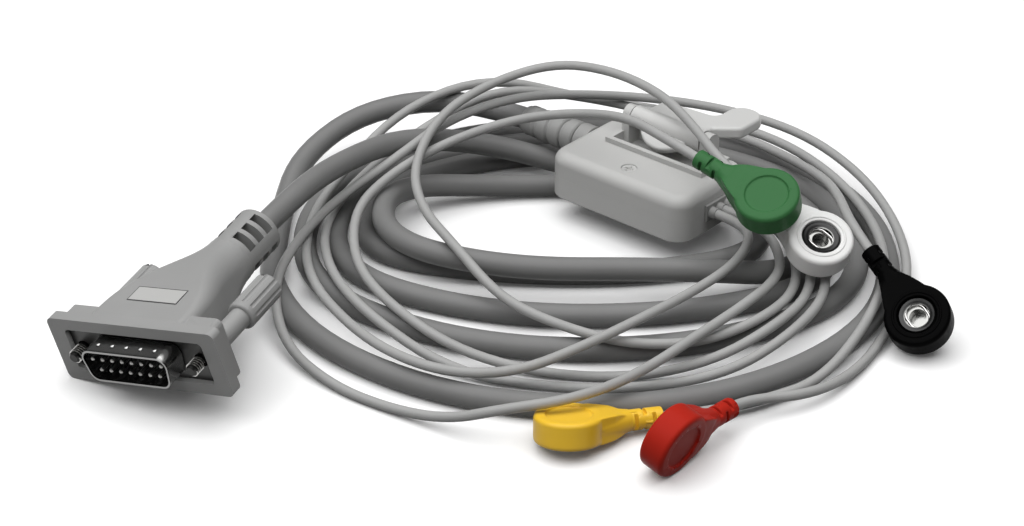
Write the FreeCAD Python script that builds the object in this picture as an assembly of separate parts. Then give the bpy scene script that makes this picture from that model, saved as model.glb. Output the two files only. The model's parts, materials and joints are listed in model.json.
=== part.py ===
import FreeCAD, Part
import math
import os

V = FreeCAD.Vector
os.makedirs("parts", exist_ok=True)

# All lengths are millimetres. The bench is z = 0, X runs right and Y away along it.
# The frame's origin on the bench, under the middle of the rigid pieces.
FRAME_ORIGIN = V(-1.267, -21.055, 0.0)

# Cords
TRUNK_RADIUS = 2.9
LEAD_RADIUS = 1.2
CORNER_SHARE = 0.45
CORD_FIT = 0.15
PRESS_FIT = 0.02

# Fifteen-way connector, in its own frame: x across, y rearward, z up
CONNECTOR_PLACE = V(-83.0, -63.7, 12.615)
CONNECTOR_YAW = -27.5
CONNECTOR_PITCH = 8.5
CONNECTOR_ROLL = -11.5
SHELL_WIDTH = 24.99
SHELL_HEIGHT = 8.36
SHELL_RADIUS = 2.6
SHELL_WALL = 0.5
SHELL_FRONT = -4.8
SHELL_DRAFT = 10.0
REAR_SHELL_WIDTH = SHELL_WIDTH - 1.9
REAR_SHELL_HEIGHT = SHELL_HEIGHT + 0.34
REAR_SHELL_END = 6.5
JACK_MARGIN = 8.33
JACK_PITCH = SHELL_WIDTH + JACK_MARGIN
FLANGE_MARGIN = 5.82
FLANGE_WIDTH = JACK_PITCH + FLANGE_MARGIN
FLANGE_HEIGHT = 12.55
FLANGE_CORNER = 0.5
FLANGE_FIT = 0.15
PLATE = 0.8
LIP_MARGIN = 8.06
LIP_WIDTH = FLANGE_WIDTH + LIP_MARGIN
LIP_HEIGHT = 17.0
LIP_DEPTH = 2.9
LIP_CORNER = 1.6
EAR_MARGIN = 3.46
EAR_WIDTH = FLANGE_WIDTH + EAR_MARGIN
EAR_HEIGHT = 15.4
EAR_DEPTH = 3.9
EAR_CORNER = 1.5
RECESS_WIDTH = FLANGE_WIDTH - 0.34
RECESS_HEIGHT = 11.2
RECESS_DEPTH = 1.4
RECESS_CORNER = 1.2
POCKET_WIDTH = REAR_SHELL_WIDTH + 0.9
POCKET_HEIGHT = REAR_SHELL_HEIGHT + 1.1
POCKET_END = 14.5
POCKET_CORNER = 1.5
FRONT_WALL = 1.8
REAR_WALL = 1.2
HOOD_SECTIONS = (
    (LIP_DEPTH, POCKET_WIDTH + 2 * FRONT_WALL, LIP_HEIGHT, 2.5),
    (13.0, POCKET_WIDTH + 2 * REAR_WALL, LIP_HEIGHT, 3.0),
    (20.0, 21.8, 16.8, 4.0),
    (27.0, 16.0, 15.2, 5.0),
    (33.0, 13.0, 13.2, 5.8),
    (38.0, 12.2, 12.2, 6.0),
)
RELIEF_RADIUS = 6.0
RELIEF_START = 37.5
RELIEF_END = 50.5
WINDOW_ROWS = (40.6, 44.3, 48.0)
WINDOW_LENGTH = 2.4
WINDOW_WIDTH = 5.4
CABLE_STOP = 30.0
CABLE_RUN = 11.5
JACK_RADIUS = 1.42
JACK_HOLE = 1.75
JACK_TIP = -3.0
JACK_CHAMFER = 0.4
JACK_THREAD_END = RECESS_DEPTH - 0.2
JACK_SHANK = 1.25
JACK_ROOT = 20.0
INSULATOR_FRONT = 0.8
INSULATOR_FIT = 0.1
INSULATOR_END = 9.0
PIN_RADIUS = 0.5
PIN_TIP = -4.2
PIN_CHAMFER = 0.2
PIN_PITCH = 0.11084 * SHELL_WIDTH
ROW_PITCH = 2.84
CUP_RADIUS = 0.95
CUP_END = 13.5
CUP_WALL = 0.3
CUP_FLOOR = 1.5
DIMPLE_RADIUS = 1.0
DIMPLE_DEPTH = 0.25
DIMPLE_PITCH = 0.16 * SHELL_WIDTH
FERRULE_RADIUS = 4.1
FERRULE_START = 30.6
FERRULE_END = 33.8
KNOB_START = 7.1
NECK_RADIUS = 2.5
NECK_END = 17.5
KNOB_RADIUS = 3.5
KNOB_END = 30.0
KNOB_FLUTES = 10
FLUTE_RADIUS = 0.55
FLUTE_STANDOFF = 0.15
FLUTE_SETBACK = 1.6
KNOB_ROUND = 0.7
KNOB_SLOT = 1.0
KNOB_SLOT_DEPTH = 1.2

# Yoke (lead junction box), in its own frame: x along it, y across, z up from its base
YOKE_PLACE = V(34.2, 20.9, 6.2)
YOKE_YAW = -41.0
YOKE_LENGTH = 43.0
YOKE_DEPTH = 28.0
YOKE_SPLIT = 6.0
YOKE_HEIGHT = 12.5
YOKE_CORNER = 5.0
YOKE_TOP_ROUND = 3.0
YOKE_WALL = 1.8
YOKE_CEILING = 8.4
YOKE_BASE_EDGE = 0.6
BOSS_SINK = 0.3
YOKE_SCREW_Y = -7.8
BOSS_RADIUS = 2.4
SCREW_RADIUS = 1.0
SCREW_HEAD = 1.9
SCREW_SEAT = 11.1
SCREW_BORE = 3.0
SCREW_END = 3.2
SCREW_HEAD_HEIGHT = 1.1
CROSS_HALF = 1.3
CROSS_WIDTH = 0.6
CROSS_FLOOR = 0.5
SEAT_FIT = 0.15
BOARD_BASE = 2.6
BOARD_THICKNESS = 1.6
BOARD_Y = (-5.0, 11.0)
BOARD_FIT = 2.7
POST_RADIUS = 1.5
POST_X = 12.0
POST_Y = 6.0
RESISTOR_X = (6.0, 12.4)
RESISTOR_WIDTH = 2.0
RESISTOR_HEIGHT = 1.6
LEAD_ROWS = (-3.0, 0.0, 3.0, 6.0, 9.0)
LEAD_HEIGHT = 6.0
GROMMET_DEPTH = 2.9
GROMMET_EDGE = 1.8
GROMMET_HALF = 2.2
GROMMET_FACE = YOKE_LENGTH / 2 + 0.8
COLLAR_FACE = GROMMET_FACE + 1.7
COLLAR_RADIUS = 1.45
BOOT_Y = 4.5
BOOT_Z = 7.0
BOOT_CORE = 3.6
BOOT_RING = 4.6
BOOT_TIP = -YOKE_LENGTH / 2 - 22.0
BOOT_STOP = BOOT_TIP + 6.0
BOOT_RUN = 19.5
RING_PITCH = 4.4
RING_LENGTH = 3.7
RING_EDGE = 0.45
RING_COUNT = 5
RING_STEP = 0.15

# Garment clip on the yoke
CLIP_X = 0.6
HINGE_Y = 7.8
HINGE_Z = 17.6
CLIP_HALF = 10.8
EAR_THICKNESS = 2.2
EAR_GAP = 0.4
EAR_RADIUS = 2.6
BARREL_RADIUS = 2.8
PIN_R = 0.8
PIN_PLAY = 0.3
SPRING_ROOM = 2.3
SPRING_ROOM_LENGTH = 5.0
SPRING_COIL = 1.6
SPRING_WIRE = 0.25
SPRING_TURNS = 4
SPRING_PITCH = 0.9
JAW_X = -0.2
JAW_SLOPE = 34.0
JAW_THICKNESS = 2.2
JAW_RADIUS = 8.2
JAW_REACH = 7.0
JAW_ROUND = 0.7
PADDLE_X = (6.1, 15.3)
PADDLE_END = 20.5
PADDLE_ROUND = 4.2
LID_END = 9.6
LID_INSET = 1.4
LID_ROUND = 2.4
LID_CLEAR = 4.6
TONGUE_THICKNESS = 3.2
TONGUE_SLOPE = 1.0
TONGUE_ROUND = 0.9
FRAME_X = (8.0 - YOKE_LENGTH / 2, YOKE_LENGTH / 2 - 4.5)
FRAME_Y = (-0.6, 11.0)
FRAME_BAR = 1.4
FRAME_RISE = 1.3
POCKET_FLOOR = 10.1

# Snap electrode connectors: x along the boot, z out of the socket
DISC_RADIUS = 7.85
DISC_HALF = 3.2
DISC_ROUND = 1.0
BOOT_RADIUS = 2.4
BOOT_START = 13.5
BOOT_END = 21.5
BOOT_SLOTS = (15.1, 17.2, 19.3)
NECK_SECTIONS = ((3.0, 13.0, 5.8, 2.6), (9.0, 8.6, 5.5, 2.5), (BOOT_START + 0.5, 4.9, 4.9, 2.3))
SLOT_WIDTH = 0.9
SLOT_CORE = 1.45
SOCKET_RADIUS = 4.6
SOCKET_FIT = 0.05
SOCKET_FLOOR = -1.6
SOCKET_SHELF = 1.5
STUD_RADIUS = 2.0
BORE_FLOOR = -1.1
BACK_RECESS = 5.2
BACK_DEPTH = 0.5
SOCKET_WALL_TOP = 2.3
SOCKET_LIP = ((4.1, 2.9), (3.6, 2.75), (2.9, 2.45), (2.9, 2.2), (3.7, 2.2))
SHELF_RADIUS = 3.7
SNAP_WIRE = 0.3
SNAP_WIRE_Y = 2.35
SNAP_WIRE_X = 0.8
SNAPS = {
    "green": (V(60.0, -19.5, 28.0), V(-0.72, 0.673, 0.172), V(0.11, 0.478, -0.87)),
    "white": (V(72.6, -20.7, 17.2), V(-0.703, 0.615, 0.358), V(0.154, -0.504, 0.849)),
    "black": (V(94.2, -40.0, 8.0), V(-0.45, 0.806, 0.385), V(-0.32, -0.548, 0.773)),
    "yellow": (V(12.4, -80.0, 4.85), V(0.95, 0.30, -0.075), V(0.0, -0.242, -0.97)),
    "red": (V(34.5, -90.0, 8.2), V(0.634, 0.763, -0.12), V(-0.72, 0.652, 0.23)),
}

# Loose trunk coil: reach from the middle line at each quarter, one value for each turn
COIL_X = 17.0
COIL_LOW = 2.9
COIL_HIGH = 9.3
REACH_RIGHT = (53.5, 45.0, 61.0, 68.0, 75.0)
REACH_FRONT = (19.0, 10.0, 30.0, 45.0, 69.0)
REACH_LEFT = (49.0, 54.0, 61.0, 68.5, 75.5)
REACH_BACK = (35.0, 52.5, 60.0, 68.0)
SIDE_RIGHT = (0.0, 11.0, 3.0, 2.0, 0.0)
SIDE_LEFT = (10.0, 13.0, 11.0, 8.0, 0.0)
COIL_TAIL = 6.0

# Free stretches of the trunk and the five leads, between their fixed ends
TRUNK_IN = (
    (-44.0, 12.0, 21.0), (-28.0, 36.0, 16.5), (-5.0, 46.0, 9.5), (19.0, 43.6, 2.9),
    (39.0, 41.0, 2.9), (54.5, 35.5, 2.9), (65.5, 25.5, 2.9), (70.5, 13.0, 2.9),
)
TRUNK_OUT = ((-58.5, 20.0, 2.9), (-55.0, 42.0, 8.0), (-38.0, 61.0, 12.5))
# Each lead: straight run out of the yoke, straight run into its snap, points between
LEADS = {
    "yellow": (8.0, 12.0, (
        (57.5, -11, 12.3), (52, -22, 11.5), (41, -33, 10.5), (29, -45, 11), (16, -55, 10), (2, -61.5, 7.5),
        (-12, -63.5, 8), (-25, -57, 8), (-37, -43, 7.5), (-49, -20, 7.5), (-51, 6, 7.5), (-44, 32, 8),
        (-29, 54, 15.8), (-6, 68, 18.5), (20, 71, 10), (46, 68, 7.5), (69, 54, 7.5), (83, 32, 7.5),
        (90, 7, 7.5), (90, -18, 8), (82, -41, 7), (70, -57, 2), (57, -64.5, 2))),
    "red": (12.0, 6.0, (
        (65, -14, 9), (62, -26, 10), (52.5, -38.5, 10), (42, -49, 9), (32, -60, 8.5), (22, -70.5, 9.3),
        (11, -77.7, 10.1), (-2, -79, 8.8), (-14, -75, 3.5), (-27, -67.5, 1.2), (-41, -58, 1.4), (-53, -43, 3),
        (-57, -23, 7.5), (-52, -5, 10), (-43, 11, 12.5), (-30.4, 24.4, 15.5), (-17, 38.5, 20), (0, 50, 21),
        (17, 59, 17.5), (37, 67, 12.5), (58, 65, 10), (77, 54, 8.5), (90, 36, 6), (96, 13, 5),
        (96.5, -11, 4.5), (90.5, -30, 2.2), (80, -51, 1.3), (67, -65.5, 3.8))),
    "white": (12.0, 10.0, (
        (68.5, -12, 9), (67, -27, 7.5), (57, -40, 7.5), (43, -46.5, 5.5), (26, -48.5, 6.5), (10, -43, 8.5),
        (-3, -31, 8.5), (-14, -16, 14.5), (-22, 1, 14.5), (-25, 18, 17), (-19, 35, 23), (-6, 47, 26.5),
        (11, 53, 29.5), (26, 45, 31), (38, 31, 31), (45, 16, 29.5))),
    "green": (12.0, 11.0, (
        (72, -10.5, 9), (70.5, -28, 7.5), (60, -43, 7.5), (46, -51.5, 4), (28, -54.5, 1.2), (7, -53, 1.2),
        (-13, -47, 4), (-29, -33, 8), (-38, -15, 9), (-39, 5, 12), (-31, 19, 14.5), (-17, 30, 18),
        (0, 33, 23), (15, 27, 28), (28, 17, 32))),
    "black": (12.0, 9.0, (
        (75, -9, 9), (74.5, -28, 7.5), (64, -46, 7.5), (49, -55.5, 3), (29, -59, 1.2), (8, -58.5, 1.2),
        (-14, -53, 2), (-33, -38, 7.5), (-44, -17, 7.5), (-47, 6, 7.5), (-40, 28, 8), (-26, 46, 12),
        (-5, 59, 19.5), (18, 65, 14), (41, 64, 9), (61, 54, 7.5), (74, 37, 8.5), (79, 20, 12.5),
        (80, 3, 17))),
}


def block(x0, x1, y0, y1, z0, z1):
    return Part.makeBox(x1 - x0, y1 - y0, z1 - z0, V(x0, y0, z0))


def rod(radius, start, direction, length):
    return Part.makeCylinder(radius, length, start, direction)


def unit(vector):
    return vector * (1.0 / vector.Length)


def in_front(depth):
    return lambda p: V(p.x, depth, p.y)


def flat(height):
    return lambda p: V(p.x, p.y, height)


def crosswise(x):
    return lambda p: V(x, p.x, p.y)


def rounded_polygon(corners, radius, at):
    """Closed wire through 2-D corners, rounded with one radius or one for each."""
    radii = radius if isinstance(radius, tuple) else (radius,) * len(corners)
    starts = []
    middles = []
    ends = []
    for i, here in enumerate(corners):
        u = unit(corners[i - 1] - here)
        v = unit(corners[(i + 1) % len(corners)] - here)
        half = u.getAngle(v) / 2.0
        starts.append(here + u * (radii[i] / math.tan(half)))
        ends.append(here + v * (radii[i] / math.tan(half)))
        middles.append(here + unit(u + v) * (radii[i] / math.sin(half) - radii[i]))
    edges = []
    for i in range(len(corners)):
        following = (i + 1) % len(corners)
        edges.append(Part.Arc(at(starts[i]), at(middles[i]), at(ends[i])).toShape())
        edges.append(Part.makeLine(at(ends[i]), at(starts[following])))
    return Part.Wire(edges)


def rectangle(width, height, radius, at):
    corners = [V(-width / 2, -height / 2), V(width / 2, -height / 2)]
    corners += [V(width / 2, height / 2), V(-width / 2, height / 2)]
    return rounded_polygon(corners, radius, at)


def d_outline(width, height, radius, at):
    """D-subminiature outline, wide side up."""
    narrow = width / 2 - height * math.tan(math.radians(SHELL_DRAFT))
    corners = [V(-narrow, -height / 2), V(narrow, -height / 2)]
    corners += [V(width / 2, height / 2), V(-width / 2, height / 2)]
    return rounded_polygon(corners, radius, at)


def prism(wire, direction):
    return Part.Face(wire).extrude(direction)


def d_prism(width, height, radius, start, end):
    return prism(d_outline(width, height, radius, in_front(start)), V(0, end - start, 0))


def rect_prism(width, height, radius, start, end):
    return prism(rectangle(width, height, radius, in_front(start)), V(0, end - start, 0))


def arc_middle(start, tangent, end):
    """Middle of the arc that leaves start along tangent and reaches end."""
    chord = end - start
    along = unit(chord)
    side = tangent - along * tangent.dot(along)
    if side.Length < 1e-7:
        return (start + end) * 0.5
    bend = math.atan2(side.Length, tangent.dot(along))
    return (start + end) * 0.5 + unit(side) * (chord.Length / 2 * math.tan(bend / 2))


def cord_path(points):
    """Straight runs joined by tangent arcs; returns the wire and the bend radii."""
    edges = []
    radii = []
    here = points[0]
    for before, corner, after in zip(points, points[1:], points[2:]):
        u = unit(corner - before)
        v = unit(after - corner)
        reach = CORNER_SHARE * min((corner - before).Length, (after - corner).Length)
        enter = corner - u * reach
        leave = corner + v * reach
        edges.append(Part.LineSegment(here, enter).toShape())
        edges.append(Part.Arc(enter, arc_middle(enter, u, leave), leave).toShape())
        radii.append(reach / math.tan(u.getAngle(v) / 2))
        here = leave
    edges.append(Part.LineSegment(here, points[-1]).toShape())
    return Part.Wire(edges), radii


def tube(wire, start, direction, radius):
    ring = Part.Wire([Part.Circle(start, direction, radius).toShape()])
    return wire.makePipeShell([ring], True, False)


def cord(name, points, radius):
    wire, radii = cord_path(points)
    solid = tube(wire, points[0], points[1] - points[0], radius)
    expected = math.pi * radius * radius * wire.Length
    print("%s length %.0f mm, bends %.1f to %.1f mm, volume ratio %.4f, valid %s" % (
        name, wire.Length, min(radii), max(radii), solid.Volume / expected, solid.isValid()))
    return solid


def biarc(p0, t0, p1, t1):
    """Two tangent arcs that join one quarter station to the next."""
    step = p1 - p0
    first = step.dot(t0)
    second = step.dot(t1)
    share = 0.414 + 0.25 * (1 - min(first, second) / max(first, second))
    half = step.dot(step) / 2
    if first < second:
        d0 = share * first
        d1 = (half - d0 * first) / (second + d0)
    else:
        d1 = share * second
        d0 = (half - d1 * second) / (first + d1)
    q0 = p0 + t0 * d0
    q1 = p1 - t1 * d1
    joint = q0 + (q1 - q0) * (d0 / (d0 + d1))
    one = Part.Arc(p0, arc_middle(p0, t0, joint), joint)
    two = Part.Arc(joint, arc_middle(p1, t1 * -1, joint), p1)
    return [one.toShape(), two.toShape()]


def coil_stations():
    stations = []
    for turn in range(len(REACH_RIGHT)):
        raised = COIL_HIGH if turn == 0 else COIL_LOW
        stations.append((V(COIL_X + REACH_RIGHT[turn], SIDE_RIGHT[turn], COIL_LOW), V(0, -1, 0)))
        stations.append((V(COIL_X, -REACH_FRONT[turn], raised), V(-1, 0, 0)))
        stations.append((V(COIL_X - REACH_LEFT[turn], SIDE_LEFT[turn], raised), V(0, 1, 0)))
        if turn < len(REACH_BACK):
            stations.append((V(COIL_X, REACH_BACK[turn], COIL_LOW), V(1, 0, 0)))
    return stations


def trunk_coil():
    stations = coil_stations()
    first, heading = stations[0]
    start = first - heading * COIL_TAIL
    edges = [Part.LineSegment(start, first).toShape()]
    for (p0, t0), (p1, t1) in zip(stations, stations[1:]):
        edges += biarc(p0, t0, p1, t1)
    last, leaving = stations[-1]
    end = last + leaving * COIL_TAIL
    edges.append(Part.LineSegment(last, end).toShape())
    wire = Part.Wire(edges)
    solid = tube(wire, start, heading, TRUNK_RADIUS)
    samples = wire.discretize(Distance=3.0)
    stride = wire.Length / (len(samples) - 1)
    apart = int(10 * TRUNK_RADIUS / stride)
    least = min(samples[i].distanceToPoint(samples[j])
                for i in range(len(samples)) for j in range(i + apart, len(samples)))
    expected = math.pi * TRUNK_RADIUS ** 2 * wire.Length
    print("trunk_coil length %.0f mm, least gap to itself %.2f mm, volume ratio %.4f, valid %s" % (
        wire.Length, least - 2 * TRUNK_RADIUS, solid.Volume / expected, solid.isValid()))
    return solid, start, end


def connector_placement():
    turn = FreeCAD.Rotation(V(0, 0, 1), CONNECTOR_YAW)
    turn = turn * FreeCAD.Rotation(V(1, 0, 0), CONNECTOR_PITCH)
    turn = turn * FreeCAD.Rotation(V(0, 1, 0), CONNECTOR_ROLL)
    return FreeCAD.Placement(CONNECTOR_PLACE, turn)


def yoke_placement():
    return FreeCAD.Placement(YOKE_PLACE, FreeCAD.Rotation(V(0, 0, 1), YOKE_YAW))


def snap_placement(colour):
    centre, boot, face = SNAPS[colour]
    x = unit(boot)
    z = unit(face - x * face.dot(x))
    return FreeCAD.Placement(centre, FreeCAD.Rotation(x, z.cross(x), z, "XZY"))


def make_hood():
    lip = rect_prism(LIP_WIDTH, LIP_HEIGHT, LIP_CORNER, 0, LIP_DEPTH)
    ears = rect_prism(EAR_WIDTH, EAR_HEIGHT, EAR_CORNER, LIP_DEPTH, LIP_DEPTH + EAR_DEPTH)
    wires = [rectangle(w, h, r, in_front(y)) for y, w, h, r in HOOD_SECTIONS]
    body = Part.makeLoft(wires, True, False)
    relief = rod(RELIEF_RADIUS, V(0, RELIEF_START, 0), V(0, 1, 0), RELIEF_END - RELIEF_START)
    hood = lip.fuse([ears, body, relief])
    bore = TRUNK_RADIUS + CORD_FIT
    cuts = [rect_prism(RECESS_WIDTH, RECESS_HEIGHT, RECESS_CORNER, -1, RECESS_DEPTH)]
    cuts.append(rect_prism(FLANGE_WIDTH + 2 * FLANGE_FIT, FLANGE_HEIGHT + 2 * FLANGE_FIT,
                           FLANGE_CORNER, RECESS_DEPTH, RECESS_DEPTH + 2 * PLATE))
    cuts.append(rect_prism(POCKET_WIDTH, POCKET_HEIGHT, POCKET_CORNER, RECESS_DEPTH, POCKET_END))
    cuts.append(rod(bore, V(0, POCKET_END - 1, 0), V(0, 1, 0), RELIEF_END))
    cuts.append(rod(FERRULE_RADIUS + SOCKET_FIT, V(0, POCKET_END - 1, 0), V(0, 1, 0),
                    FERRULE_END - POCKET_END + 1))
    for side in (-1, 1):
        cuts.append(rod(JACK_HOLE, V(side * JACK_PITCH / 2, -1, 0), V(0, 1, 0), LIP_DEPTH + EAR_DEPTH + 2))
    for row in WINDOW_ROWS:
        for quarter in range(4):
            window = block(-WINDOW_WIDTH / 2, WINDOW_WIDTH / 2, row - WINDOW_LENGTH / 2,
                           row + WINDOW_LENGTH / 2, 0, RELIEF_RADIUS + 1)
            window.rotate(V(0, 0, 0), V(0, 1, 0), 45 + 90 * quarter)
            cuts.append(window)
    return hood.cut(cuts)


def make_front_shell():
    plate = rect_prism(FLANGE_WIDTH, FLANGE_HEIGHT, FLANGE_CORNER, RECESS_DEPTH, RECESS_DEPTH + PLATE)
    outer = d_prism(SHELL_WIDTH, SHELL_HEIGHT, SHELL_RADIUS, SHELL_FRONT, RECESS_DEPTH + PLATE)
    inner = d_prism(SHELL_WIDTH - 2 * SHELL_WALL, SHELL_HEIGHT - 2 * SHELL_WALL,
                    SHELL_RADIUS - SHELL_WALL, SHELL_FRONT - 1, RECESS_DEPTH + 2 * PLATE)
    cuts = [inner]
    for side in (-1, 1):
        cuts.append(rod(JACK_HOLE, V(side * JACK_PITCH / 2, 0, 0), V(0, 1, 0), RECESS_DEPTH + 2))
    for i in range(5):
        height = SHELL_HEIGHT / 2 + DIMPLE_RADIUS - DIMPLE_DEPTH
        cuts.append(Part.makeSphere(DIMPLE_RADIUS, V(DIMPLE_PITCH * (i - 2), SHELL_FRONT / 2, height)))
    for i in range(4):
        depth = -(SHELL_HEIGHT / 2 + DIMPLE_RADIUS - DIMPLE_DEPTH)
        cuts.append(Part.makeSphere(DIMPLE_RADIUS, V(DIMPLE_PITCH * (i - 1.5), SHELL_FRONT / 2, depth)))
    return plate.fuse(outer).cut(cuts)


def make_rear_shell():
    start = RECESS_DEPTH + PLATE
    plate = rect_prism(FLANGE_WIDTH, FLANGE_HEIGHT, FLANGE_CORNER, start, start + PLATE)
    outer = d_prism(REAR_SHELL_WIDTH, REAR_SHELL_HEIGHT, SHELL_RADIUS, start, REAR_SHELL_END)
    inner = d_prism(REAR_SHELL_WIDTH - 2 * SHELL_WALL, REAR_SHELL_HEIGHT - 2 * SHELL_WALL,
                    SHELL_RADIUS - SHELL_WALL, start - 1, REAR_SHELL_END + 1)
    cuts = [inner]
    for side in (-1, 1):
        cuts.append(rod(JACK_HOLE, V(side * JACK_PITCH / 2, 0, 0), V(0, 1, 0), start + 2))
    return plate.fuse(outer).cut(cuts)


def pin_places():
    wide = [V((i - 3.5) * PIN_PITCH, 0, ROW_PITCH / 2) for i in range(8)]
    narrow = [V((i - 3) * PIN_PITCH, 0, -ROW_PITCH / 2) for i in range(7)]
    return wide + narrow


def make_insulator():
    split = RECESS_DEPTH + PLATE
    gap = 2 * SHELL_WALL + INSULATOR_FIT
    front = d_prism(SHELL_WIDTH - gap, SHELL_HEIGHT - gap, SHELL_RADIUS - SHELL_WALL, INSULATOR_FRONT, split)
    rear = d_prism(REAR_SHELL_WIDTH - gap, REAR_SHELL_HEIGHT - gap, SHELL_RADIUS - SHELL_WALL,
                   split, INSULATOR_END)
    holes = []
    for place in pin_places():
        start = V(place.x, INSULATOR_FRONT - 1, place.z)
        holes.append(rod(PIN_RADIUS + PRESS_FIT, start, V(0, 1, 0), INSULATOR_END - INSULATOR_FRONT + 2))
    return front.fuse(rear).cut(holes)


def make_contacts():
    contacts = []
    for place in pin_places():
        pin = rod(PIN_RADIUS, V(place.x, PIN_TIP, place.z), V(0, 1, 0), CUP_END - PIN_TIP)
        tip = [e for e in pin.Edges if abs(e.CenterOfMass.y - PIN_TIP) < 1e-6]
        pin = pin.makeChamfer(PIN_CHAMFER, tip)
        cup = rod(CUP_RADIUS, V(place.x, INSULATOR_END, place.z), V(0, 1, 0), CUP_END - INSULATOR_END)
        well = rod(CUP_RADIUS - CUP_WALL, V(place.x, INSULATOR_END + CUP_FLOOR, place.z), V(0, 1, 0), CUP_END)
        contacts.append(pin.fuse(cup).cut(well))
    return Part.makeCompound(contacts)


def make_ferrule():
    outer = rod(FERRULE_RADIUS, V(0, FERRULE_START, 0), V(0, 1, 0), FERRULE_END - FERRULE_START)
    inner = rod(TRUNK_RADIUS + CORD_FIT, V(0, 0, 0), V(0, 1, 0), RELIEF_END)
    return outer.cut(inner)


def make_jackscrew(side):
    x = side * JACK_PITCH / 2
    thread = rod(JACK_RADIUS, V(x, JACK_TIP, 0), V(0, 1, 0), JACK_THREAD_END - JACK_TIP)
    tip = [e for e in thread.Edges if abs(e.CenterOfMass.y - JACK_TIP) < 1e-6]
    thread = thread.makeChamfer(JACK_CHAMFER, tip)
    shank = rod(JACK_SHANK, V(x, JACK_THREAD_END, 0), V(0, 1, 0), JACK_ROOT - JACK_THREAD_END)
    return thread.fuse(shank)


def make_knob(side):
    x = side * JACK_PITCH / 2
    neck = rod(NECK_RADIUS, V(x, KNOB_START, 0), V(0, 1, 0), NECK_END - KNOB_START)
    grip = rod(KNOB_RADIUS, V(x, NECK_END, 0), V(0, 1, 0), KNOB_END - NECK_END)
    rims = [e for e in grip.Edges if abs(abs(e.CenterOfMass.x) - JACK_PITCH / 2) < 1e-6 and e.Closed]
    grip = grip.makeFillet(KNOB_ROUND, rims)
    cuts = [rod(JACK_SHANK + PRESS_FIT, V(x, KNOB_START - 1, 0), V(0, 1, 0), JACK_ROOT - KNOB_START + 1)]
    for i in range(KNOB_FLUTES):
        angle = 2 * math.pi * i / KNOB_FLUTES
        reach = KNOB_RADIUS + FLUTE_STANDOFF
        place = V(x + reach * math.cos(angle), NECK_END + FLUTE_SETBACK, reach * math.sin(angle))
        cuts.append(rod(FLUTE_RADIUS, place, V(0, 1, 0), KNOB_END - NECK_END))
    cuts.append(block(x - KNOB_SLOT / 2, x + KNOB_SLOT / 2, KNOB_END - KNOB_SLOT_DEPTH, KNOB_END + 1,
                      -KNOB_RADIUS, KNOB_RADIUS))
    return neck.fuse(grip).cut(cuts)


def yoke_slab(inset, z0, z1):
    wire = rectangle(YOKE_LENGTH - 2 * inset, YOKE_DEPTH - 2 * inset, YOKE_CORNER - inset, flat(z0))
    return prism(wire, V(0, 0, z1 - z0))


def grommet_block(fit):
    return block(GROMMET_FACE - GROMMET_DEPTH - fit, GROMMET_FACE, LEAD_ROWS[0] - GROMMET_EDGE - fit,
                 LEAD_ROWS[-1] + GROMMET_EDGE + fit, LEAD_HEIGHT - GROMMET_HALF - fit,
                 LEAD_HEIGHT + GROMMET_HALF + fit)


def boot_hole():
    start = V(-YOKE_LENGTH / 2 - 1, BOOT_Y, BOOT_Z)
    return rod(BOOT_CORE + PRESS_FIT, start, V(1, 0, 0), YOKE_WALL + 2)


def make_lower_shell():
    shell = yoke_slab(0, 0, YOKE_SPLIT)
    base = [e for e in shell.Edges if abs(e.BoundBox.ZMax) < 1e-6]
    shell = shell.makeChamfer(YOKE_BASE_EDGE, base)
    shell = shell.cut(yoke_slab(YOKE_WALL, YOKE_WALL, YOKE_SPLIT + 1))
    up = V(0, 0, 1)
    root = YOKE_WALL - BOSS_SINK
    posts = [rod(BOSS_RADIUS, V(0, YOKE_SCREW_Y, root), up, YOKE_SPLIT - root)]
    for side in (-1, 1):
        posts.append(rod(POST_RADIUS, V(side * POST_X, POST_Y, root), up, BOARD_BASE - root))
    shell = shell.fuse(posts)
    bore = rod(SCREW_RADIUS + PRESS_FIT, V(0, YOKE_SCREW_Y, SCREW_BORE), up, YOKE_SPLIT)
    return shell.cut([bore, grommet_block(PRESS_FIT), boot_hole()])


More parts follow.
